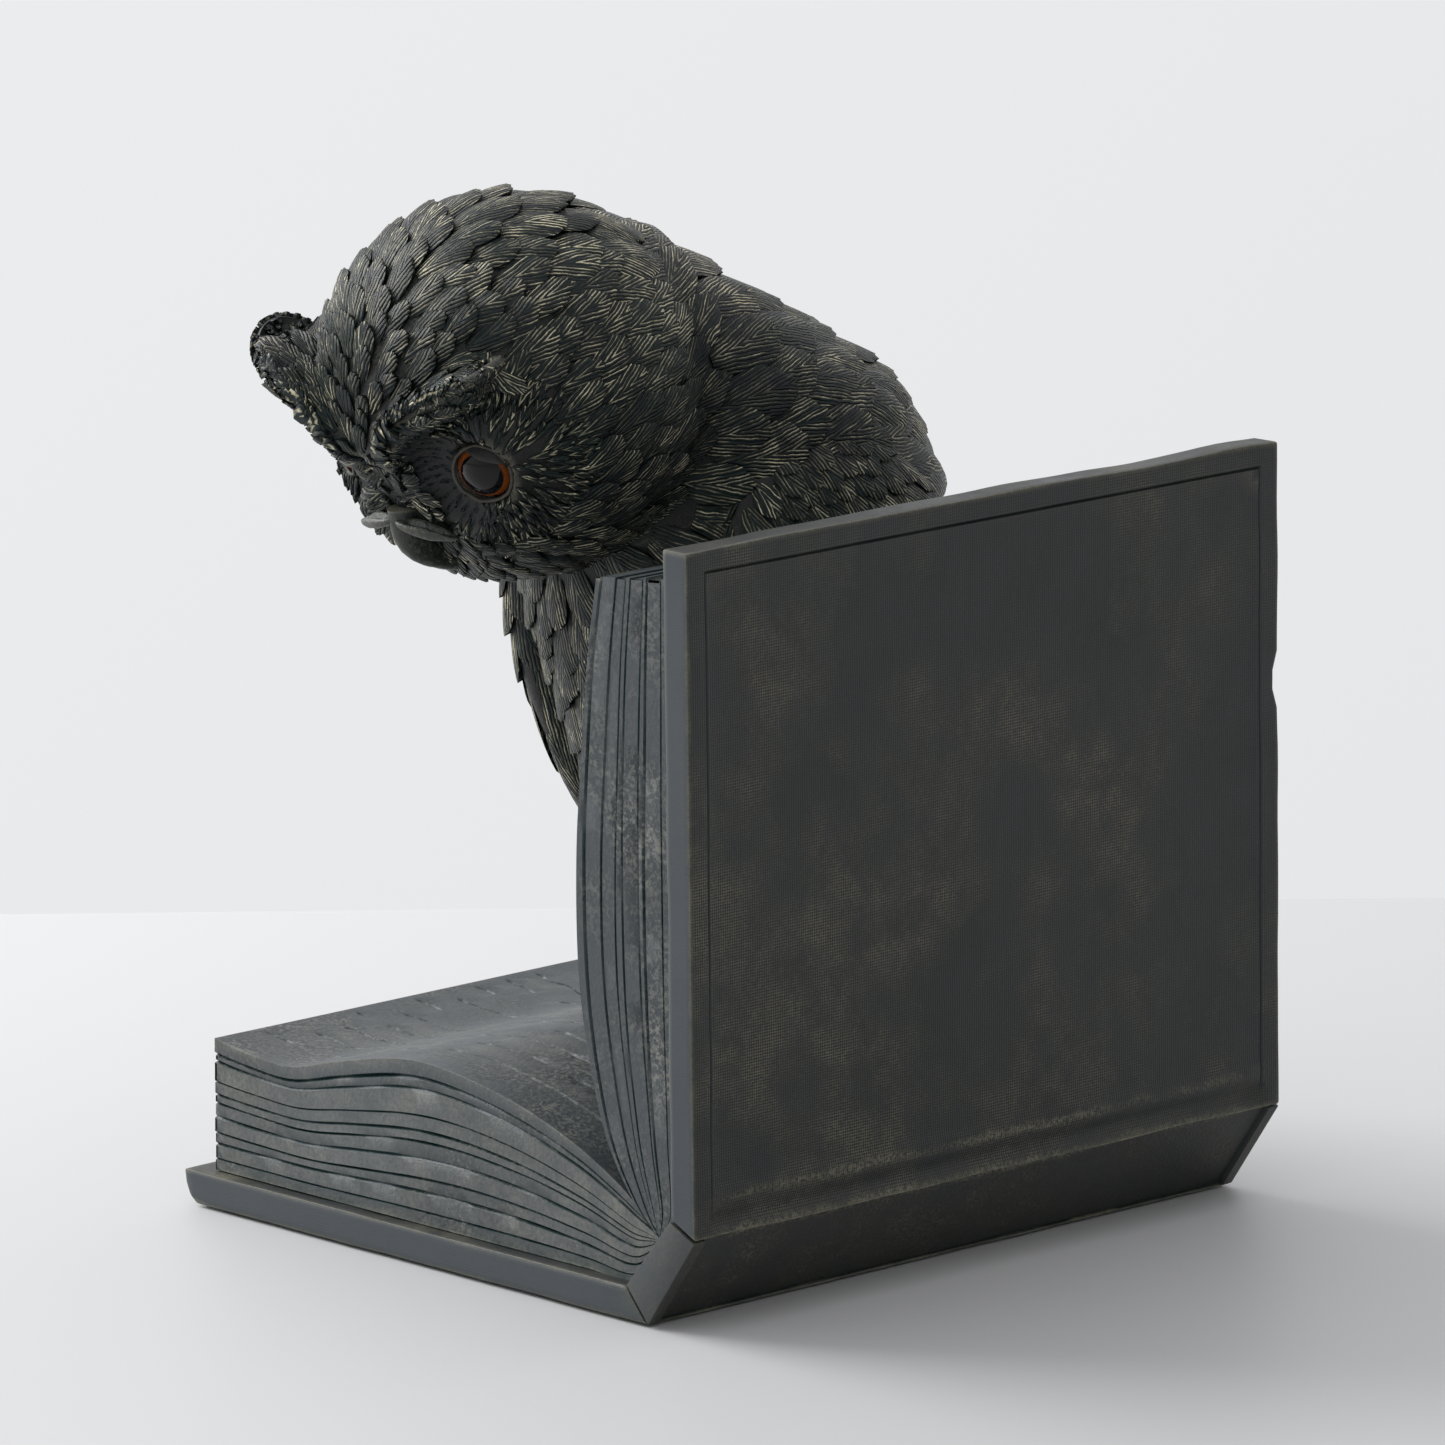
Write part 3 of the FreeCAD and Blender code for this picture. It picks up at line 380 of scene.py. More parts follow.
page_block("base_leaves", "base_page_block",
           [(-152.5, 7.5), (-128.0, 7.5), (-104.0, 7.5), (-80.0, 7.5), (-56.0, 7.5), (-36.0, 7.5),
            (-21.5, 7.6), (-13.6, 16.4)],
           [(-151.6, 35.9), (-141.0, 34.4), (-128.0, 33.8), (-113.0, 37.4), (-95.0, 41.2), (-80.0, 41.7),
            (-58.8, 38.6), (-40.4, 33.3), (-27.3, 27.4), (-19.6, 22.5), (-13.4, 17.8)],
           half_base_block, 10, 19, 3)
page_block("upright_leaves", "upright_page_block",
           [(-7.6, 153.4), (-7.6, 130.0), (-7.6, 106.0), (-7.6, 82.0), (-7.6, 60.0), (-7.6, 40.0),
            (-7.6, 24.2), (-12.2, 18.6)],
           [(-29.0, 151.2), (-32.2, 133.0), (-34.4, 112.6), (-36.1, 94.0), (-36.2, 73.0), (-34.3, 57.0),
            (-30.2, 41.0), (-26.0, 32.0), (-19.4, 23.4), (-13.0, 18.2)],
           half_upright_block, 8, 19, 8)

# The owl's form: body and head are modelled as one, with a dished face, and cut apart on the sloping
# neck joint once the form is done. Both castings carry their feathers.
owl_x = sum(corner.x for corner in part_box("owl_body")) / 2.0
NECK = Vector((0.0, -6.5, 157.4))
NECK_TILT = math.radians(31.0)
neck_up = Vector((0.0, -math.sin(NECK_TILT), math.cos(NECK_TILT)))
BODY_RINGS = [(31.0, 28.0, 24.0, 25.0), (60.0, 26.0, 30.3, 33.0), (90.0, 22.0, 34.3, 37.5),
              (120.0, 13.0, 36.8, 41.0), (148.0, 12.0, 38.0, 48.2), (168.0, 4.5, 36.0, 43.8),
              (188.0, -17.0, 28.5, 31.5), (205.0, -33.0, 17.0, 18.0)]
SKULL = Vector((0.0, -47.0, 177.0))
SKULL_RADII = Vector((36.0, 41.0, 38.2))
BEAK_ROOT = Vector((0.0, -80.5, 158.0))
BROW = [(1.0, -81.5, 162.5), (4.0, -85.0, 166.5), (8.5, -87.8, 171.0), (12.5, -89.0, 174.6),
        (17.0, -89.6, 177.3), (24.5, -88.6, 181.6), (30.5, -85.3, 185.2)]


def perched(x, y, z):
    """A place in metres from mm off the owl's middle plane, along the book, and above the shelf."""
    return Vector((owl_x + x * MM, y * MM, z * MM))


def off_owl(place):
    """The same, back to mm."""
    return Vector((place.x - owl_x, place.y, place.z)) / MM


def eye_frame(side):
    """Place of an eye and its gaze, turned outwards and bowed."""
    turn, bow = math.radians(26.0), math.radians(19.0)
    gaze = Vector((side * math.sin(turn) * math.cos(bow), -math.cos(turn) * math.cos(bow), -math.sin(bow)))
    return Vector((side * 21.5, -72.2, 165.5)), gaze


def ball(form, centre, radii, turn=None, segments=32):
    """An ellipsoid added to a form; centre and radii in mm from the owl's middle plane."""
    place = Matrix.Translation(perched(*centre)) @ (turn or Matrix.Identity(4))
    place = place @ Matrix.Diagonal((radii[0] * MM, radii[1] * MM, radii[2] * MM, 1.0))
    return bmesh.ops.create_uvsphere(form, u_segments=segments, v_segments=segments // 2 + 2, radius=1.0,
                                     matrix=place)["verts"]


def fused(form, grain, rounds):
    """A form of overlapping closed shapes made one skin of even faces, and smoothed."""
    mesh = bpy.data.meshes.new("clay")
    form.to_mesh(mesh)
    form.free()
    clay = bpy.data.objects.new("clay", mesh)
    bpy.context.scene.collection.objects.link(clay)
    knit = clay.modifiers.new("knit", "REMESH")
    knit.mode = "VOXEL"
    knit.voxel_size = grain * MM
    skin = bpy.data.meshes.new_from_object(clay.evaluated_get(bpy.context.evaluated_depsgraph_get()))
    bpy.data.objects.remove(clay)
    made = bmesh.new()
    made.from_mesh(skin)
    for step in range(rounds):
        bmesh.ops.smooth_vert(made, verts=made.verts, factor=0.5, use_axis_x=True, use_axis_y=True,
                              use_axis_z=True)
    bmesh.ops.recalc_face_normals(made, faces=made.faces)
    return made


owl_form = bmesh.new()
ring = bmesh.ops.create_circle(owl_form, cap_ends=True, segments=48, radius=1.0)["verts"]
cap = owl_form.faces[:][0]
for number, (height, place, half_wide, half_deep) in enumerate(BODY_RINGS):
    if number:
        grown = bmesh.ops.extrude_face_region(owl_form, geom=[cap])["geom"]
        ring = [part for part in grown if isinstance(part, bmesh.types.BMVert)]
        cap = [part for part in grown if isinstance(part, bmesh.types.BMFace)][0]
        last = BODY_RINGS[number - 1]
        for vert in ring:
            off = off_owl(vert.co)
            vert.co = Vector((off.x / last[2], (off.y - last[1]) / last[3], 0.0))
    for vert in ring:
        vert.co = perched(vert.co.x * half_wide, place + vert.co.y * half_deep, height)
bmesh.ops.recalc_face_normals(owl_form, faces=owl_form.faces)
ball(owl_form, SKULL, SKULL_RADII, segments=64)
for side in (-1, 1):
    for number in range(18):
        spot = along(BROW, number / 17.0)
        spot.x *= side
        inward = (SKULL - spot).normalized()
        for deep, girth in ((1.0, 2.2), (4.5, 3.2), (8.5, 4.4), (13.0, 6.0)):
            ball(owl_form, spot + inward * deep, (girth, girth, girth), segments=12)
owl_form = fused(owl_form, 1.25, 7)

for vert in owl_form.verts:
    spot = off_owl(vert.co)
    side = 1 if spot.x > 0.0 else -1
    eye, gaze = eye_frame(side)
    if spot.y < -50.0 and spot.z < 167.0:
        drop = 167.0 - spot.z
        seat = -81.0 + 0.36 * drop + 0.020 * drop * drop
        if spot.y < seat:
            spot.y += (seat - spot.y) * eased(abs(spot.x), 25.0, 13.0)
            vert.co = perched(*spot)
    if (spot - eye).length > 32.0:
        continue
    hollow = eye + Vector((-side * 4.5, -1.5, -1.0))
    height = (spot - hollow).dot(gaze)
    off_axis = ((spot - hollow) - gaze * height).length
    dish = 0.033 * off_axis * off_axis - 2.6
    if height > dish:
        spot -= gaze * (height - dish) * eased(off_axis, 19.0, 12.0)
    height = (spot - eye).dot(gaze)
    off_axis = ((spot - eye) - gaze * height).length
    spot += gaze * 1.0 * eased(off_axis, 11.0, 7.5) * eased(off_axis, 5.2, 6.8)
    if off_axis < 6.0:
        spot -= gaze * max(0.0, height + 7.0) * eased(off_axis, 6.6, 5.9)
    vert.co = perched(*spot)
for step in range(2):
    bmesh.ops.smooth_vert(owl_form, verts=owl_form.verts, factor=0.35, use_axis_x=True, use_axis_y=True,
                          use_axis_z=True)
owl_form.normal_update()
owl_skin = BVHTree.FromBMesh(owl_form)


def half_of(form, keep_up, gap=0.0):
    """One side of the neck joint as a closed form."""
    half = form.copy()
    cutting = neck_up * (1.0 if keep_up else -1.0)
    made = bmesh.ops.bisect_plane(half, geom=half.verts[:] + half.edges[:] + half.faces[:], dist=1e-7,
                                  plane_co=perched(*NECK) + neck_up * gap * MM, plane_no=-cutting,
                                  clear_outer=True)
    rim = [part for part in made["geom_cut"] if isinstance(part, bmesh.types.BMEdge)]
    bmesh.ops.holes_fill(half, edges=rim, sides=0)
    return half


# Feathers: every feather is modelled as a thin vane laid on the form, its root sunk and its tip standing
# clear over the next row, with barbs scored across it and the tips split.
vane_form = bmesh.new()
bmesh.ops.create_grid(vane_form, x_segments=6, y_segments=7, size=0.5)
bmesh.ops.translate(vane_form, verts=vane_form.verts, vec=(0.0, 0.5, 0.0))
for vert in vane_form.verts:
    across, along_vane = vert.co.x, vert.co.y
    if along_vane < 0.6:
        breadth = 0.55 + 0.45 * math.sin(along_vane / 0.6 * math.pi / 2.0)
    else:
        breadth = math.sqrt(max(0.0, 1.0 - ((along_vane - 0.6) / 0.46) ** 2))
    notch = 0.045 if along_vane > 0.9 and round(abs(across) * 6.0) % 2 else 0.0
    vert.co = Vector((across * breadth, along_vane - notch - 0.22 * across * across * along_vane,
                      1.0 - 3.0 * across * across))
skirt = bmesh.ops.extrude_edge_only(vane_form, edges=[edge for edge in vane_form.edges if edge.is_boundary])
for part in skirt["geom"]:
    if isinstance(part, bmesh.types.BMVert):
        part.co = Vector((part.co.x * 0.86, part.co.y * 0.94 + 0.02, -1.0))
bmesh.ops.holes_fill(vane_form, edges=[edge for edge in vane_form.edges if edge.is_boundary], sides=0)
bmesh.ops.recalc_face_normals(vane_form, faces=vane_form.faces)
vane_mesh = bpy.data.meshes.new("vane")
vane_form.to_mesh(vane_mesh)
vane_form.free()
scratch_mesh = bpy.data.meshes.new("laid_vane")


def lay_vane(plumage, skin, root, flow, long, wide, rise, camber=0.5, curl=0.0, sink=0.5, tone=0.0):
    """Lays one feather on a skin from its root along a flow. long, wide, rise and sink are in mm."""
    vane = bmesh.new()
    vane.from_mesh(vane_mesh)
    barbs = vane.loops.layers.uv.new("barbs")
    tones = vane.verts.layers.float.new("tone")
    for face in vane.faces:
        for loop in face.loops:
            loop[barbs].uv = (loop.vert.co.x * wide, loop.vert.co.y * long)
    near, normal, *_ = skin.find_nearest(root)
    flow = (flow - normal * flow.dot(normal)).normalized()
    side = normal.cross(flow)
    for vert in vane.verts:
        u, v, h = vert.co
        spot = root + (flow * v * long + side * (u * wide + curl * long * v * v)) * MM
        near, normal, *_ = skin.find_nearest(spot)
        if h > -0.9:
            height = rise * v ** 0.85 - sink + camber * h * (1.0 - 0.35 * v)
        else:
            height = rise * v ** 0.85 * 0.72 - sink - 0.9
        vert.co = near + normal * height * MM
        vert[tones] = tone
    vane.to_mesh(scratch_mesh)
    vane.free()
    plumage.from_mesh(scratch_mesh)


def scattered(form, gap_at, rng):
    """Places on a form with no two nearer than the gap asked for there, in mm. No gap, no place."""
    cell = 4.0
    taken = {}
    kept = []
    faces = form.faces[:]
    rng.shuffle(faces)
    for face in faces:
        place = face.calc_center_median()
        spot = off_owl(place)
        gap = gap_at(spot, face.normal)
        if not gap:
            continue
        home = tuple(int(math.floor(part / cell)) for part in spot)
        reach = int(math.ceil(gap / cell))
        near = [other for i in range(-reach, reach + 1) for j in range(-reach, reach + 1)
                for k in range(-reach, reach + 1)
                for other in taken.get((home[0] + i, home[1] + j, home[2] + k), ())]
        if all((spot - other).length >= gap for other in near):
            taken.setdefault(home, []).append(spot)
            kept.append((place, spot, face.normal.copy()))
    return kept


def plumage_form():
    form = bmesh.new()
    form.loops.layers.uv.new("barbs")
    form.verts.layers.float.new("tone")
    return form


def feather_patina(name, ground, recess, rubbed, wear=1.0):
    """Dark patina with barbs that run out from each shaft, scored in and dry brushed on their crests."""
    material = bpy.data.materials.new(name)
    material.use_nodes = True
    tree = material.node_tree
    where = add(tree, "TexCoord").outputs["Object"]
    barbs = add(tree, "SeparateXYZ", {0: add(tree, "UVMap", uv_map="barbs").outputs[0]})
    tone = add(tree, "Attribute", attribute_name="tone").outputs["Fac"]
    flutter = clouds(tree, where, 260.0, 2.0)
    aside = sums(tree, "ABSOLUTE", barbs.outputs[0])
    slope = sums(tree, "MULTIPLY_ADD", barbs.outputs[1], -0.22, aside)
    slope = sums(tree, "MULTIPLY_ADD", flutter, 0.9, slope)
    barb = sums(tree, "SINE", sums(tree, "MULTIPLY", slope, 8.2))
    strand = clouds(tree, add(tree, "CombineXYZ", {0: sums(tree, "MULTIPLY", slope, 1.9),
                                                   1: sums(tree, "MULTIPLY", barbs.outputs[1], 0.12),
                                                   2: sums(tree, "MULTIPLY", tone, 40.0)}).outputs[0], 1.0, 2.0)
    relief = sums(tree, "MULTIPLY", ramp(tree, barb, -0.8, 0.9, 0.25, 1.0), ramp(tree, strand, 0.3, 0.6, 0.35, 1.0))
    drift = clouds(tree, where, 38.0, 4.0)
    blotch = clouds(tree, where, 150.0, 5.0, 0.7)
    grain = clouds(tree, where, 1500.0, 2.0, 0.7)
    hollow = add(tree, "AmbientOcclusion", {"Distance": 3.0 * MM}, samples=6).outputs["AO"]
    colour = tinted(tree, ramp(tree, drift, 0.36, 0.62), ground, recess)
    # Darker wash in the hollows, and painted shade under the overlapping vanes: where ambient occlusion is strong the
    # colour goes nearly black.
    colour = tinted(tree, ramp(tree, hollow, 0.75, 0.25), colour, tuple(part * 0.35 for part in recess))
    open_air = ramp(tree, hollow, 0.45, 0.85)
    brushed = sums(tree, "MULTIPLY", ramp(tree, relief, 0.55, 0.98), ramp(tree, blotch, 0.40, 0.62, 0.10, 1.0))
    # Each feather's tone sets how much it is brushed; near a spot on the crown it is raised as a painted highlight.
    brushed = sums(tree, "MULTIPLY", brushed, ramp(tree, tone, 0.0, 1.4, 0.2 * wear, 1.35 * wear))
    brushed = sums(tree, "MULTIPLY", brushed, open_air)
    brushed = sums(tree, "MULTIPLY", brushed, ramp(tree, grain, 0.3, 0.55, 0.35, 1.0))
    colour = tinted(tree, brushed, colour, rubbed)
    scored = add(tree, "Bump", {"Height": relief, "Strength": 1.0, "Distance": 0.65 * MM})
    rough = add(tree, "Bump", {"Height": grain, "Strength": 0.35, "Distance": 0.15 * MM,
                               "Normal": scored.outputs[0]})
    feed(tree.nodes["Principled BSDF"], {"Base Color": colour, "Normal": rough.outputs[0],
                                         "Roughness": ramp(tree, blotch, 0.3, 0.7, 0.34, 0.5),
                                         "Specular IOR Level": 0.28})
    return material


feather_paint = feather_patina("feather_patina", (0.012, 0.015, 0.018), (0.009, 0.019, 0.017),
                               (0.80, 0.74, 0.52), wear=1.75)
down_paint = patina("down_patina", (0.013, 0.013, 0.013), (0.008, 0.014, 0.014), (0.16, 0.15, 0.11),
                    wear=0.4, speckle=1600.0, bump=0.8, gloss=0.55)


def flow_at(spot):
    """Which way feathers lie: out from the root of the beak over the crown, the neck and the body."""
    away = spot - BEAK_ROOT
    lie = away.normalized()
    if spot.z > 150.0 and spot.y < -40.0:
        lie += Vector((0.45 if spot.x > 0.0 else -0.45, 0.0, 0.0)) * eased(abs(spot.x), 0.0, 8.0)
    lie += Vector((0.0, 0.0, -0.6)) * eased(spot.z, 165.0, 120.0)
    return lie


def feather_long(spot):
    """Length of the feather rooted at a place: short at the beak and longer over the nape and back."""
    reach = (spot - BEAK_ROOT).length
    if spot.z < 140.0 and spot.y < 0.0:
        return 12.0 + 4.0 * eased(reach, 30.0, 110.0)
    return 6.5 + 14.5 * eased(reach, 12.0, 88.0)


def eye_distance(spot):
    """Distance from the nearer eye's axis, and how far towards the beak the place lies from that eye."""
    side = 1 if spot.x > 0.0 else -1
    eye, gaze = eye_frame(side)
    off = spot - eye
    off -= gaze * off.dot(gaze)
    towards_beak = BEAK_ROOT - eye
    towards_beak = (towards_beak - gaze * towards_beak.dot(gaze)).normalized()
    return off.length, off.dot(towards_beak), off, gaze


def brow_distance(spot):
    mirrored = Vector((abs(spot.x), spot.y, spot.z))
    return min((mirrored - along(BROW, share / 20.0)).length for share in range(21))


def in_face(spot):
    """Whether a place lies in the facial disc, under the brow."""
    off, beakward, *_ = eye_distance(spot)
    return spot.y < -45.0 and off < 17.0 and spot.z < 184.0


# Painted highlight: feathers near this spot on the crown's near side get more pale brushing.
CROWN_PAINTED_HIGHLIGHT = Vector((20.0, -58.0, 204.0))


def clothed(form, name, nodes, slot_name, wanted, seed):
    """Lays the main feathers over a form and returns the plumage, ready for more."""
    rng = random.Random(seed)
    plumage = plumage_form()

    def gap_at(spot, normal):
        if not wanted(spot, normal) or in_face(spot) or (spot.y < -60.0 and brow_distance(spot) < 2.2):
            return 0.0
        return 0.40 * feather_long(spot)

    for place, spot, normal in scattered(form, gap_at, rng):
        long = feather_long(spot) * rng.uniform(0.9, 1.12)
        wide = long * rng.uniform(0.5, 0.64)
        # Each feather's tone is random, and is raised near the spot on the crown as a painted highlight.
        lay_vane(plumage, owl_skin, place, flow_at(spot), long, wide,
                 1.2 + 0.09 * long + rng.uniform(-0.2, 0.6), 0.6 + 0.03 * long,
                 rng.uniform(-0.12, 0.12), tone=rng.random() + 0.5 * eased((spot - CROWN_PAINTED_HIGHLIGHT).length, 34.0, 12.0))
    return plumage


def above_neck(spot):
    return (spot - NECK).dot(neck_up) > 0.0


head_core = half_of(owl_form, True)
body_core = half_of(owl_form, False)

head_plumage = clothed(owl_form, "head", ["owl_head"], "feather_resin",
                       lambda spot, normal: above_neck(spot) and spot.z > 137.0, 11)
rng = random.Random(5)


def bristle_gap(spot, normal):
    off, beakward, *_ = eye_distance(spot)
    bare = beakward > 3.0 and off < 15.0 and spot.z > 156.0
    if not in_face(spot) or off < 6.5:
        return 0.0
    return 1.3 if bare else 1.6


for place, spot, normal in scattered(owl_form, bristle_gap, rng):
    off, beakward, outward, gaze = eye_distance(spot)
    down = Vector((0.0, 0.0, -3.0)) if outward.z < 3.0 else Vector((0.0, 0.0, 0.0))
    if beakward > 3.0 and off < 15.0 and spot.z > 156.0:
        lay_vane(head_plumage, owl_skin, place, outward, rng.uniform(2.6, 4.0), rng.uniform(0.7, 1.1),
                 0.35, 0.2, rng.uniform(-0.2, 0.2), sink=0.25, tone=0.0)
        continue
    lay_vane(head_plumage, owl_skin, place, outward + down, rng.uniform(5.0, 7.5), rng.uniform(1.2, 1.7),
             1.3, 0.4, rng.uniform(-0.18, 0.18), sink=0.3, tone=rng.uniform(0.4, 1.0))
for side in (-1, 1):
    for number in range(46):
        share = number / 45.0
        spot = along(BROW, share)
        run = along(BROW, min(1.0, share + 0.03)) - spot
        for row, (lift, lie) in enumerate(((1.1, Vector((0.5, 0.5, 1.0))), (-0.9, Vector((0.3, 0.1, -1.0))))):
            place = Vector((side * spot[0], spot[1], spot[2] + lift))
            lie = Vector((side * (lie.x + 0.8), lie.y, lie.z))
            lay_vane(head_plumage, owl_skin, perched(*place), lie, rng.uniform(3.6, 5.2), rng.uniform(1.2, 1.6),
                     1.9 if row == 0 else 1.5, 0.5, rng.uniform(-0.1, 0.1), sink=-0.3,
                     tone=rng.uniform(0.5, 1.0))

head_core_mesh = bpy.data.meshes.new("head_core")
head_core.to_mesh(head_core_mesh)
head_core.free()
finished("owl_head_plumage", head_plumage, feather_paint, ["owl_head"], 60.0)
core_form = bmesh.new()
core_form.from_mesh(head_core_mesh)
finished("owl_head_casting", core_form, down_paint, ["owl_head"], 60.0)

body_plumage = clothed(owl_form, "body", ["owl_body"], "feather_resin",
                       lambda spot, normal: not above_neck(spot) and spot.z > 40.0, 21)
finished("owl_body_plumage", body_plumage, feather_paint, ["owl_body"], 60.0)
finished("owl_body_casting", body_core, down_paint, ["owl_body"], 60.0)

# Eyes: a stock glass dome over a disc painted amber with a wide black pupil, set in a socket. A modelled
# lid crosses the top of the glass and a thin rim runs round it.


def gaze_place(side, along_gaze=0.0):
    """Matrix from an eye's own space, Z along its gaze and Y up, to the row frame."""
    eye, gaze = eye_frame(side)
    up = (Vector((0.0, 0.0, 1.0)) - gaze * gaze.z).normalized()
    place = Matrix((up.cross(gaze), up, gaze)).transposed().to_4x4()
    place.translation = perched(*(eye + gaze * along_gaze))
    return place @ Matrix.Scale(MM, 4)


def turned(profile, turns=48):
    """A closed solid turned about Z from a profile of radius and height in mm."""
    form = bmesh.new()
    spots = [form.verts.new((radius, 0.0, height)) for radius, height in profile]
    edges = [form.edges.new(pair) for pair in zip(spots, spots[1:])]
    bmesh.ops.spin(form, geom=edges, cent=(0.0, 0.0, 0.0), axis=(0.0, 0.0, 1.0), angle=2.0 * math.pi,
                   steps=turns, use_merge=True)
    bmesh.ops.remove_doubles(form, verts=form.verts, dist=1e-4)
    return form


EYE_RADIUS = 6.2
DOME_RADIUS = 7.0
GLASS_BACK = -4.2
rim_high = math.sqrt(DOME_RADIUS ** 2 - EYE_RADIUS ** 2)
rim_turn = math.acos(rim_high / DOME_RADIUS)


def iris_paint(name, side, gloss):
    """Black pupil, amber ring and dark rim about an eye's axis."""
    eye, gaze = eye_frame(side)
    material = bpy.data.materials.new(name)
    material.use_nodes = True
    tree = material.node_tree
    where = add(tree, "TexCoord").outputs["Object"]
    off = add(tree, "VectorMath", {0: where, 1: perched(*eye)}, operation="SUBTRACT").outputs[0]
    off = add(tree, "VectorMath", {0: off, 1: gaze}, operation="CROSS_PRODUCT").outputs[0]
    radius = add(tree, "VectorMath", {0: off}, operation="LENGTH").outputs["Value"]
    fleck = clouds(tree, where, 1400.0, 2.0)
    amber = tinted(tree, fleck, (0.11, 0.028, 0.005), (0.24, 0.066, 0.013))
    colour = tinted(tree, ramp(tree, radius, 4.5 * MM, 4.75 * MM), (0.003, 0.003, 0.004), amber)
    colour = tinted(tree, ramp(tree, radius, 5.6 * MM, 5.95 * MM), colour, (0.01, 0.008, 0.006))
    feed(tree.nodes["Principled BSDF"], {"Base Color": colour, "Roughness": gloss, "IOR": 1.35})
    return material


lid_paint = patina("lid_patina", (0.008, 0.008, 0.009), (0.004, 0.005, 0.005), (0.26, 0.24, 0.17),
                   wear=0.35, edge_wear=0.4, speckle=1500.0, bump=0.6, gloss=0.5)
LID_LINE = 4.3
for side, word in ((1, "left"), (-1, "right")):
    arc = [(DOME_RADIUS * math.sin(rim_turn * (1.0 - step / 10.0)),
            DOME_RADIUS * math.cos(rim_turn * (1.0 - step / 10.0))) for step in range(11)]
    glass_form = turned([(0.0, 0.0), (EYE_RADIUS - 0.3, 0.0), (EYE_RADIUS, 0.3)] + arc[:-1] + [(0.0, DOME_RADIUS)])
    bmesh.ops.transform(glass_form, matrix=gaze_place(side, GLASS_BACK), verts=glass_form.verts)
    bmesh.ops.recalc_face_normals(glass_form, faces=glass_form.faces)
    finished(word + "_eye_dome", glass_form, iris_paint(word + "_glass", side, 0.06), [word + "_eye_glass"],
             50.0)
    dress(iris_paint(word + "_iris_paint", side, 0.4), word + "_eye_iris")

    lid_form = bmesh.new()
    bmesh.ops.create_uvsphere(lid_form, u_segments=48, v_segments=32, radius=8.1)
    slope = Vector((side * 0.30, 1.0, 0.0)).normalized()
    for point, normal in ((slope * LID_LINE, -slope), (Vector((0.0, 0.0, 1.2)), Vector((0.0, 0.0, -1.0)))):
        cut = bmesh.ops.bisect_plane(lid_form, geom=lid_form.verts[:] + lid_form.edges[:] + lid_form.faces[:],
                                     dist=1e-5, plane_co=point, plane_no=normal, clear_outer=True)
        rim = [part for part in cut["geom_cut"] if isinstance(part, bmesh.types.BMEdge)]
        bmesh.ops.holes_fill(lid_form, edges=rim, sides=0)
    bmesh.ops.transform(lid_form, matrix=gaze_place(side, GLASS_BACK), verts=lid_form.verts)
    rim_form = bmesh.new()
    wire = bmesh.ops.create_circle(rim_form, segments=10, radius=0.42,
                                   matrix=Matrix.Translation((6.35, 0.0, 4.9)) @ Matrix.Rotation(math.pi / 2, 4, "X"))
    bmesh.ops.spin(rim_form, geom=[edge for edge in rim_form.edges], cent=(0.0, 0.0, 0.0), axis=(0.0, 0.0, 1.0),
                   angle=2.0 * math.pi, steps=48, use_merge=True)
    bmesh.ops.transform(rim_form, matrix=gaze_place(side, GLASS_BACK), verts=rim_form.verts)
    for vert in rim_form.verts:
        vert.co += Vector((noise.noise(vert.co / (3.0 * MM)), 0.0, noise.noise(vert.co / (2.0 * MM)))) * 0.3 * MM
    lids_mesh = bpy.data.meshes.new("lids")
    rim_form.to_mesh(lids_mesh)
    rim_form.free()
    lid_form.from_mesh(lids_mesh)
    bmesh.ops.recalc_face_normals(lid_form, faces=lid_form.faces)
    finished(word + "_eye_lids", lid_form, lid_paint, ["owl_head"], 50.0)

# Beak: a smooth hook pressed down towards the breast, with a leaf-shaped nostril lobe spread to each side
# of its root. It is cast with the head's mould lines cleaned off and let in under the brow.
HOOK_LINE = [(0.0, -74.0, 156.0), (0.0, -73.2, 150.6), (0.0, -69.6, 147.2), (0.0, -64.5, 144.8),
             (0.0, -59.5, 143.0), (0.0, -56.0, 142.0)]
HOOK_GIRTH = [(4.4, 0.0, 0.0), (4.0, 0.0, 0.0), (3.7, 0.0, 0.0), (3.1, 0.0, 0.0), (2.3, 0.0, 0.0), (0.8, 0.0, 0.0)]
beak_form = bmesh.new()
bmesh.ops.create_cone(beak_form, cap_ends=True, segments=28, radius1=1.0, radius2=1.0, depth=1.0)
bmesh.ops.translate(beak_form, verts=beak_form.verts, vec=(0.0, 0.0, 0.5))
sliced(beak_form, 2, spaced(0.0, 1.0, 1.0 / 22.0))
for vert in beak_form.verts:
    share = vert.co.z
    spot = along(HOOK_LINE, share)
    run = (along(HOOK_LINE, min(1.0, share + 0.02)) - along(HOOK_LINE, max(0.0, share - 0.02))).normalized()
    girth = along(HOOK_GIRTH, share).x
    ridge = Vector((0.0, run.z, -run.y))
    keel = 1.12 if vert.co.y > 0.3 else 1.0
    vert.co = perched(*(spot + Vector((vert.co.x * girth * 0.82, 0.0, 0.0)) + ridge * vert.co.y * girth * keel))
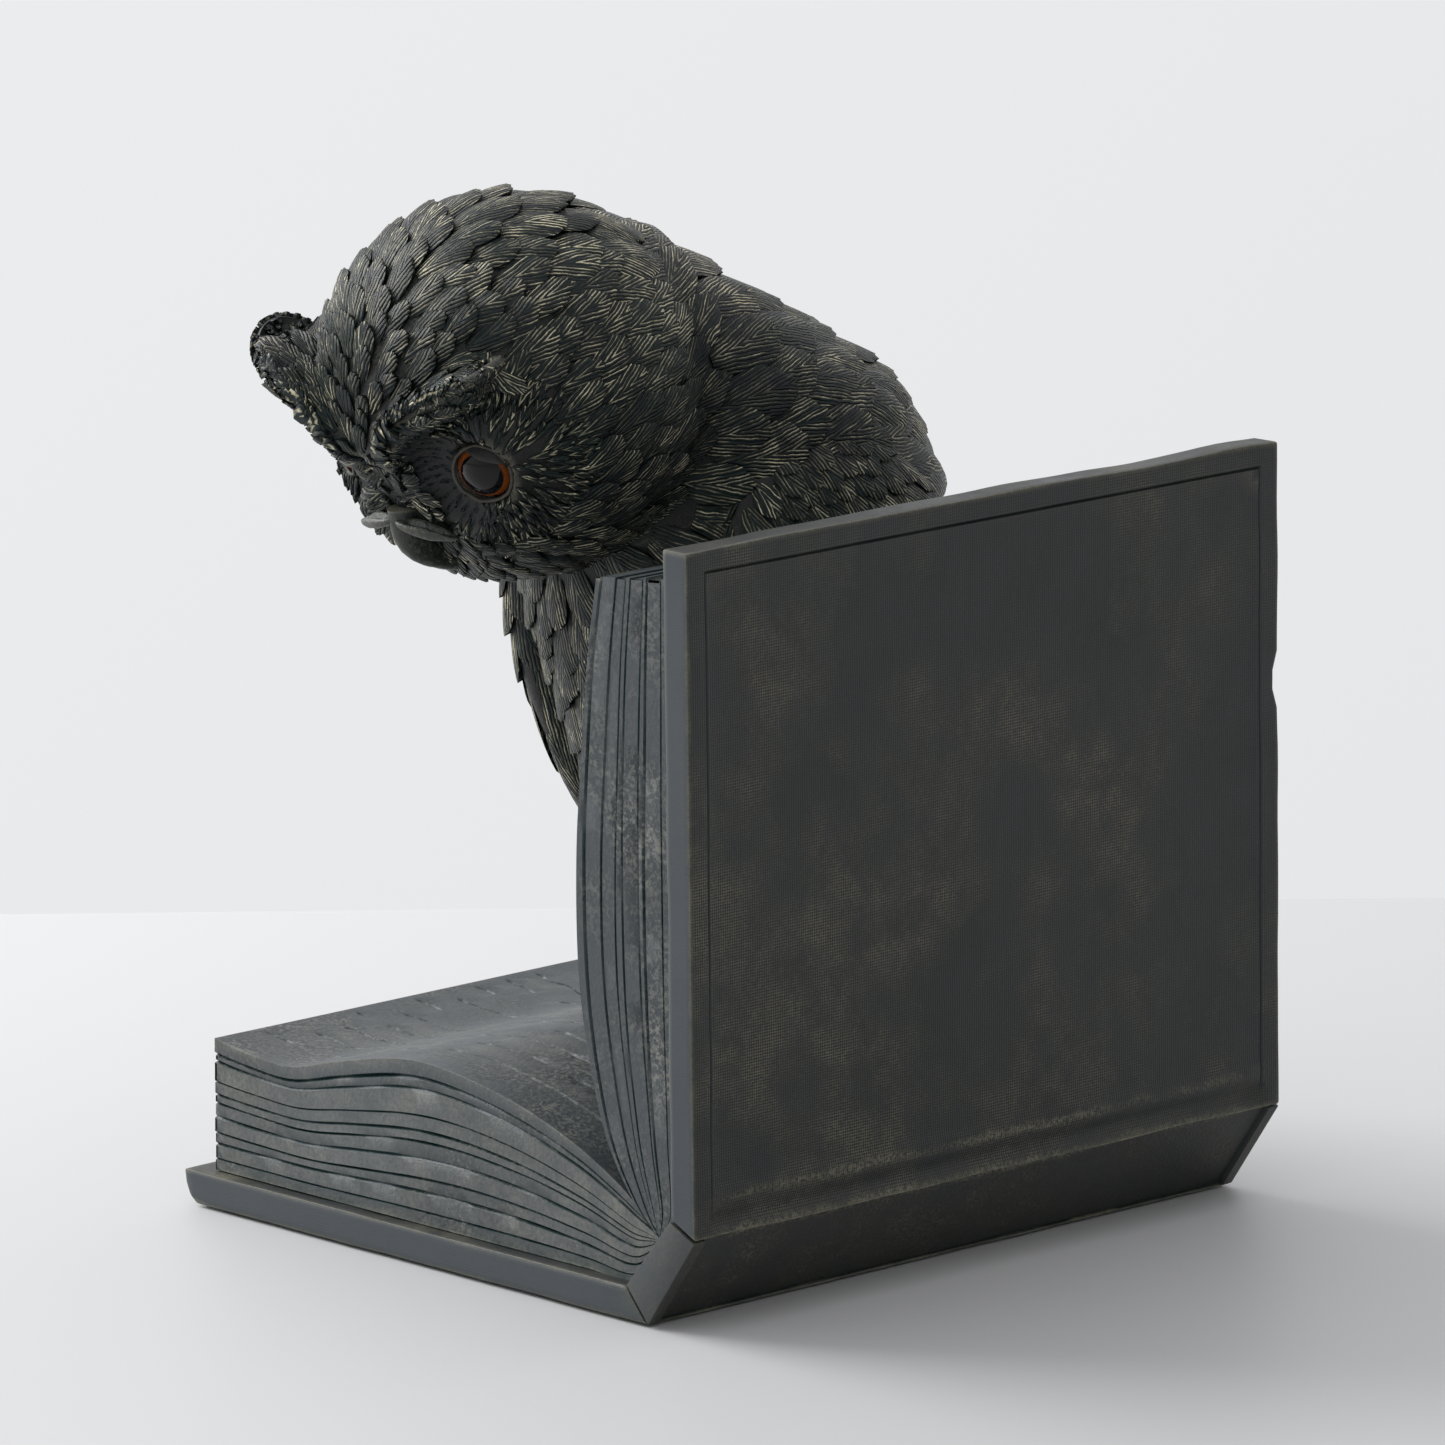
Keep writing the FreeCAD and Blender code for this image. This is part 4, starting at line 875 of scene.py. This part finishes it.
for side in (-1, 1):
    inner = Vector((side * 0.2, -77.8, 153.4))
    outer = Vector((side * 15.0, -73.6, 150.9))
    lobe_run = (outer - inner).normalized()
    lobe_up = (Vector((0.0, -0.5, 1.0)) - lobe_run * lobe_run.dot(Vector((0.0, -0.5, 1.0)))).normalized()
    lobe = ball(beak_form, Vector((0.0, 0.0, 0.0)), (1.0 / MM, 1.0 / MM, 1.0 / MM), segments=24)
    for vert in lobe:
        unit = vert.co - perched(0.0, 0.0, 0.0)
        point = 1.0 - 0.45 * max(0.0, unit.z) ** 2
        spot = (inner + outer) / 2.0 + lobe_run * unit.z * 7.9 + lobe_up * unit.y * 1.7 * point
        spot += lobe_run.cross(lobe_up) * unit.x * 2.4 * point
        if unit.y > 0.3:
            spot -= lobe_up * 1.1 * math.exp(-((unit.x / 0.28) ** 2)) * eased(abs(unit.z), 0.9, 0.5)
        vert.co = perched(*spot)
bmesh.ops.recalc_face_normals(beak_form, faces=beak_form.faces)
hand_worn(beak_form, 0.35, 2.5)
beak_paint = patina("beak_patina", (0.018, 0.023, 0.022), (0.008, 0.018, 0.016), (0.27, 0.26, 0.18),
                    wear=0.7, edge_wear=0.5, speckle=900.0, bump=1.2, gloss=0.4)
finished("beak_hook", beak_form, beak_paint, ["beak"], 60.0)

# Ear tufts: flat rounded lobes let into the ends of the brow, each with a thick barbed rim, a deep groove
# inside it and a smaller fanned lobe in the hollow. They are cast with the head's resin and glued in.
TUFT = Vector((24.7, -82.2, 184.4))
TUFT_HALF = Vector((12.5, 7.5, 2.8))
for side, word in ((1, "left"), (-1, "right")):
    rng = random.Random(31 + side)
    tip_way = Vector((side * 0.82, 0.29, 0.49)).normalized()
    back_way = Vector((-side * 0.42, 0.89, 0.18)).normalized()
    hollow_way = tip_way.cross(back_way) * side
    tuft_turn = Matrix((tip_way, back_way, hollow_way)).transposed()
    tuft_form = bmesh.new()
    bmesh.ops.create_uvsphere(tuft_form, u_segments=48, v_segments=28, radius=1.0)
    for vert in tuft_form.verts:
        spot = vert.co.copy()
        reach = math.hypot(spot.x, spot.y)
        bare = Vector((spot.x * TUFT_HALF.x, spot.y * TUFT_HALF.y, spot.z * TUFT_HALF.z))
        if spot.z > 0.0:
            inner = math.hypot(spot.x + 0.12, spot.y - 0.05)
            bare.z = 1.9 * eased(reach, 1.02, 0.88) - 2.0 * eased(reach, 0.93, 0.82) + 2.2 * eased(inner, 0.62, 0.5)
        vert.co = perched(side * TUFT.x, TUFT.y, TUFT.z) + (tuft_turn @ bare) * MM
    bmesh.ops.recalc_face_normals(tuft_form, faces=tuft_form.faces)
    tuft_form.normal_update()
    tuft_skin = BVHTree.FromBMesh(tuft_form)
    tuft_plumage = plumage_form()
    tuft_hub = perched(side * TUFT.x, TUFT.y, TUFT.z) - tip_way * 7.0 * MM
    tuft_centre = perched(side * TUFT.x, TUFT.y, TUFT.z)

    def tuft_gap(spot, normal):
        across = tuft_turn.transposed() @ (perched(*spot) - tuft_centre) / MM
        reach = math.hypot(across.x / TUFT_HALF.x, across.y / TUFT_HALF.y)
        facing = normal.dot(hollow_way) > 0.2
        return 0.0 if facing and 0.72 < reach < 0.86 else 1.5

    for place, spot, normal in scattered(tuft_form, tuft_gap, rng):
        across = tuft_turn.transposed() @ (place - tuft_centre) / MM
        reach = math.hypot(across.x / TUFT_HALF.x, across.y / TUFT_HALF.y)
        facing = normal.dot(hollow_way) > 0.2
        inside = facing and reach < 0.7
        lie = place - tuft_hub if inside else place - tuft_centre
        lay_vane(tuft_plumage, tuft_skin, place, lie, rng.uniform(2.8, 3.8), rng.uniform(1.2, 1.7),
                 0.5 if inside else 0.35, 0.3, rng.uniform(-0.1, 0.1), sink=0.3,
                 tone=rng.uniform(0.1, 0.6) if inside else rng.uniform(0.5, 1.0))
    finished(word + "_tuft_plumage", tuft_plumage, feather_paint, [word + "_ear_tuft"], 60.0)
    finished(word + "_tuft_lobe", tuft_form, down_paint, [word + "_ear_tuft"], 60.0)

# Wings: folded along the body's sides, each cast on its own and pinned on. Small round coverts cover the
# shoulder, then longer ones, and the flight feathers run down and back to the tip.
WING = Vector((33.0, 21.0, 112.4))
WING_RADII = Vector((11.5, 34.0, 58.0))
wing_turn = Matrix.Rotation(math.radians(24.0), 4, "X")
wing_down = wing_turn @ Vector((0.0, 0.0, -1.0))
for side, word in ((1, "left"), (-1, "right")):
    rng = random.Random(51 + side)
    wing_form = bmesh.new()
    ball(wing_form, (side * WING.x, WING.y, WING.z), WING_RADII, wing_turn, segments=96)
    wing_form.normal_update()
    wing_skin = BVHTree.FromBMesh(wing_form)
    wing_plumage = plumage_form()

    def covert_long(spot):
        down = (spot - Vector((side * WING.x, WING.y, WING.z))).dot(wing_down) / WING_RADII.z
        return 9.0 + 5.0 * eased(down, -0.75, -0.35) + 17.0 * eased(down, -0.30, -0.05)

    def covert_gap(spot, normal):
        return 0.38 * min(18.0, covert_long(spot)) if normal.x * side > -0.75 else 0.0

    for place, spot, normal in scattered(wing_form, covert_gap, rng):
        long = covert_long(spot) * rng.uniform(0.92, 1.1)
        wide = min(9.5, long * rng.uniform(0.6, 0.72))
        lie = wing_down + Vector((0.0, 0.25, 0.0))
        lay_vane(wing_plumage, wing_skin, place, lie, long, wide, 1.2 + 0.05 * long + rng.uniform(-0.2, 0.3),
                 0.6, rng.uniform(-0.06, 0.06), tone=rng.random())
    finished(word + "_wing_plumage", wing_plumage, feather_paint, [word + "_wing"], 60.0)
    finished(word + "_wing_casting", wing_form, down_paint, [word + "_wing"], 60.0)

# Tail: a stiff fan of long feathers behind the body, its tip resting just over the open page.
tail_turn = Matrix.Rotation(math.radians(14.0), 4, "X")
TAIL = Vector((0.0, 65.0, 58.4))
TAIL_HALF = Vector((18.0, 5.0, 25.5))
tail_form = bmesh.new()
bmesh.ops.create_cube(tail_form, size=2.0)
sliced(tail_form, 2, spaced(-1.0, 1.0, 0.1))
sliced(tail_form, 0, spaced(-1.0, 1.0, 0.125))
bmesh.ops.bevel(tail_form, geom=[edge for edge in tail_form.edges if edge.calc_face_angle(0.0) > 1.0],
                offset=0.12, offset_type="OFFSET", segments=2, profile=0.5, affect="EDGES", material=-1)
for vert in tail_form.verts:
    spot = Vector((vert.co.x * TAIL_HALF.x * (0.86 - 0.14 * vert.co.z),
                   vert.co.y * TAIL_HALF.y * (0.8 + 0.2 * vert.co.z) - 1.6 * vert.co.x ** 2,
                   vert.co.z * TAIL_HALF.z))
    vert.co = perched(*TAIL) + (tail_turn.to_3x3() @ spot) * MM
tail_form.normal_update()
tail_skin = BVHTree.FromBMesh(tail_form)
tail_plumage = plumage_form()
rng = random.Random(71)
tail_down = tail_turn.to_3x3() @ Vector((0.0, 0.0, -1.0))
for face_side in (1, -1):
    for tier, (start, long) in enumerate(((10.0, 34.0), (-4.0, 30.0), (-18.0, 26.0))):
        for number in range(7):
            share = number / 3.0 - 1.0
            place = TAIL + Vector((share * 14.0 * (1.0 - 0.08 * tier), face_side * 5.0, 0.0)) - tail_down * (-start)
            fan = tail_down + Vector((share * 0.12, 0.0, 0.0))
            lay_vane(tail_plumage, tail_skin, perched(*place), fan, long, 7.6, 1.5 + 0.5 * (1.0 - abs(share)),
                     0.6, tone=rng.random())
finished("tail_plumage", tail_plumage, feather_paint, ["tail"], 60.0)
finished("tail_casting", tail_form, down_paint, ["tail"], 60.0)

# Feet: three thick toes each, covered in short down, with black claws that grip the crest of the page.
claw_paint = patina("claw_patina", (0.016, 0.017, 0.018), (0.008, 0.010, 0.010), (0.25, 0.24, 0.18),
                    wear=0.5, bump=0.2, gloss=0.3)
CREST = 42.4
for side, word in ((1, "left"), (-1, "right")):
    rng = random.Random(81 + side)
    foot_form = bmesh.new()
    claws_form = bmesh.new()
    for toe in (-1, 0, 1):
        fan = math.radians(24.0 * toe)
        ahead_toe = Vector((math.sin(fan), -math.cos(fan), 0.0))
        root = Vector((side * 15.0, 17.5, CREST + 2.6))
        for reach, girth in ((3.0, 4.6), (8.0, 4.3), (13.0, 4.0), (18.0, 3.6)):
            ball(foot_form, root + ahead_toe * reach + Vector((0.0, 0.0, -0.5)), (girth * 0.8, girth * 0.9, girth * 0.8),
                 segments=16)
        claw_line = [tuple(root + ahead_toe * reach + Vector((0.0, 0.0, high)))
                     for reach, high in ((17.0, 0.6), (21.0, 1.2), (24.0, -0.6), (25.0, -3.0))]
        claw = bmesh.ops.create_cone(claws_form, cap_ends=True, segments=14, radius1=1.0, radius2=1.0, depth=1.0)["verts"]
        edges = {edge for vert in claw for edge in vert.link_edges}
        faces = {face for vert in claw for face in vert.link_faces}
        for step in range(1, 9):
            cut = bmesh.ops.bisect_plane(claws_form, geom=list(claw) + list(edges) + list(faces), dist=1e-6,
                                         plane_co=(0.0, 0.0, step / 9.0 - 0.5), plane_no=(0.0, 0.0, 1.0))
            claw = set(claw) | {part for part in cut["geom"] if isinstance(part, bmesh.types.BMVert)}
            edges = {edge for vert in claw for edge in vert.link_edges}
            faces = {face for vert in claw for face in vert.link_faces}
        across = Vector((ahead_toe.y, -ahead_toe.x, 0.0))
        for vert in claw:
            share = vert.co.z + 0.5
            spot = along(claw_line, share)
            girth = 2.0 * (1.0 - share) ** 0.8 + 0.15
            run = (along(claw_line, min(1.0, share + 0.03)) - along(claw_line, max(0.0, share - 0.03))).normalized()
            vert.co = perched(*(spot + across * vert.co.x * girth + run.cross(across) * vert.co.y * girth))
    bmesh.ops.recalc_face_normals(claws_form, faces=claws_form.faces)
    foot_form = fused(foot_form, 0.7, 3)
    foot_skin = BVHTree.FromBMesh(foot_form)
    foot_plumage = plumage_form()
    for place, spot, normal in scattered(foot_form, lambda spot, normal: 2.4 if normal.z > -0.3 else 0.0, rng):
        lay_vane(foot_plumage, foot_skin, place, Vector((0.0, -1.0, -0.25)), rng.uniform(3.6, 5.0),
                 rng.uniform(1.5, 2.1), 0.8, 0.35, sink=0.3, tone=rng.random())
    finished(word + "_foot_down", foot_plumage, feather_paint, [word + "_foot"], 60.0)
    finished(word + "_foot_toes", foot_form, down_paint, [word + "_foot"], 60.0)
    finished(word + "_foot_claws", claws_form, claw_paint, [word + "_foot"], 60.0)

# The set: a plain pale floor under soft studio light, with the open book's spine towards the camera.
view_turn = math.radians(47.645)
view_rise = math.radians(12.018)
view_roll = math.radians(-0.655)
back = Vector((math.sin(view_turn) * math.cos(view_rise), -math.cos(view_turn) * math.cos(view_rise),
               math.sin(view_rise)))
level = Vector((math.cos(view_turn), math.sin(view_turn), 0.0))
upright = back.cross(level)
right = level * math.cos(view_roll) + upright * math.sin(view_roll)
upward = upright * math.cos(view_roll) - level * math.sin(view_roll)
aim = Vector((0.0701, -0.0602, 0.1207))
lens = bpy.data.cameras.new("camera")
lens.sensor_width = 36.0
lens.lens = 309.55
lens.clip_end = 50.0
camera = bpy.data.objects.new("camera", lens)
bpy.context.scene.collection.objects.link(camera)
stance = Matrix((right, upward, back)).transposed().to_4x4()
stance.translation = aim + back * 2.4753
camera.matrix_world = stance
bpy.context.scene.camera = camera

FLOOR_BEHIND = 0.39
FLOOR_WIDE = 9.0
ahead = Vector((-back.x, -back.y, 0.0)).normalized()
floor_form = bmesh.new()
corner = Vector((cover_x, -half_book, 0.0))
far = corner + ahead * FLOOR_BEHIND
rim = [far - level * FLOOR_WIDE, far + level * FLOOR_WIDE,
       far + level * FLOOR_WIDE - ahead * FLOOR_WIDE, far - level * FLOOR_WIDE - ahead * FLOOR_WIDE]
floor_form.faces.new([floor_form.verts.new(spot) for spot in rim])
floor_mesh = bpy.data.meshes.new("floor")
bmesh.ops.recalc_face_normals(floor_form, faces=floor_form.faces)
floor_form.to_mesh(floor_mesh)
floor_form.free()
floor = bpy.data.objects.new("floor", floor_mesh)
bpy.context.scene.collection.objects.link(floor)
floor_paint = bpy.data.materials.new("pale_floor")
floor_paint.use_nodes = True
feed(floor_paint.node_tree.nodes["Principled BSDF"], {"Base Color": (0.60, 0.60, 0.605, 1.0), "Roughness": 0.5})
floor_mesh.materials.append(floor_paint)

world = bpy.data.worlds.new("studio")
world.use_nodes = True
window_way = (-level + ahead * 0.8 + Vector((0.0, 0.0, 0.8))).normalized()
sky = world.node_tree
sight = add(sky, "TexCoord").outputs["Generated"]
facing = add(sky, "VectorMath", {0: sight, 1: window_way}, operation="DOT_PRODUCT").outputs["Value"]
feed(sky.nodes["Background"], {"Color": (0.98, 0.985, 1.0, 1.0),
                               "Strength": ramp(sky, facing, -1.0, 1.0, 0.32, 1.04)})
bpy.context.scene.world = world


def soft_box(name, towards, distance, width, power):
    """A square area light that faces the object from a direction."""
    data = bpy.data.lights.new(name, "AREA")
    data.size = width
    data.energy = power
    lamp = bpy.data.objects.new(name, data)
    bpy.context.scene.collection.objects.link(lamp)
    towards = towards.normalized()
    lamp.location = Vector((0.0, 0.0, 0.1)) + towards * distance
    lamp.rotation_euler = towards.to_track_quat("Z", "Y").to_euler()


soft_box("window", -level * 1.0 + ahead * 0.55 + Vector((0.0, 0.0, 0.75)), 1.6, 1.1, 26.0)
bpy.context.scene.view_settings.view_transform = "Standard"
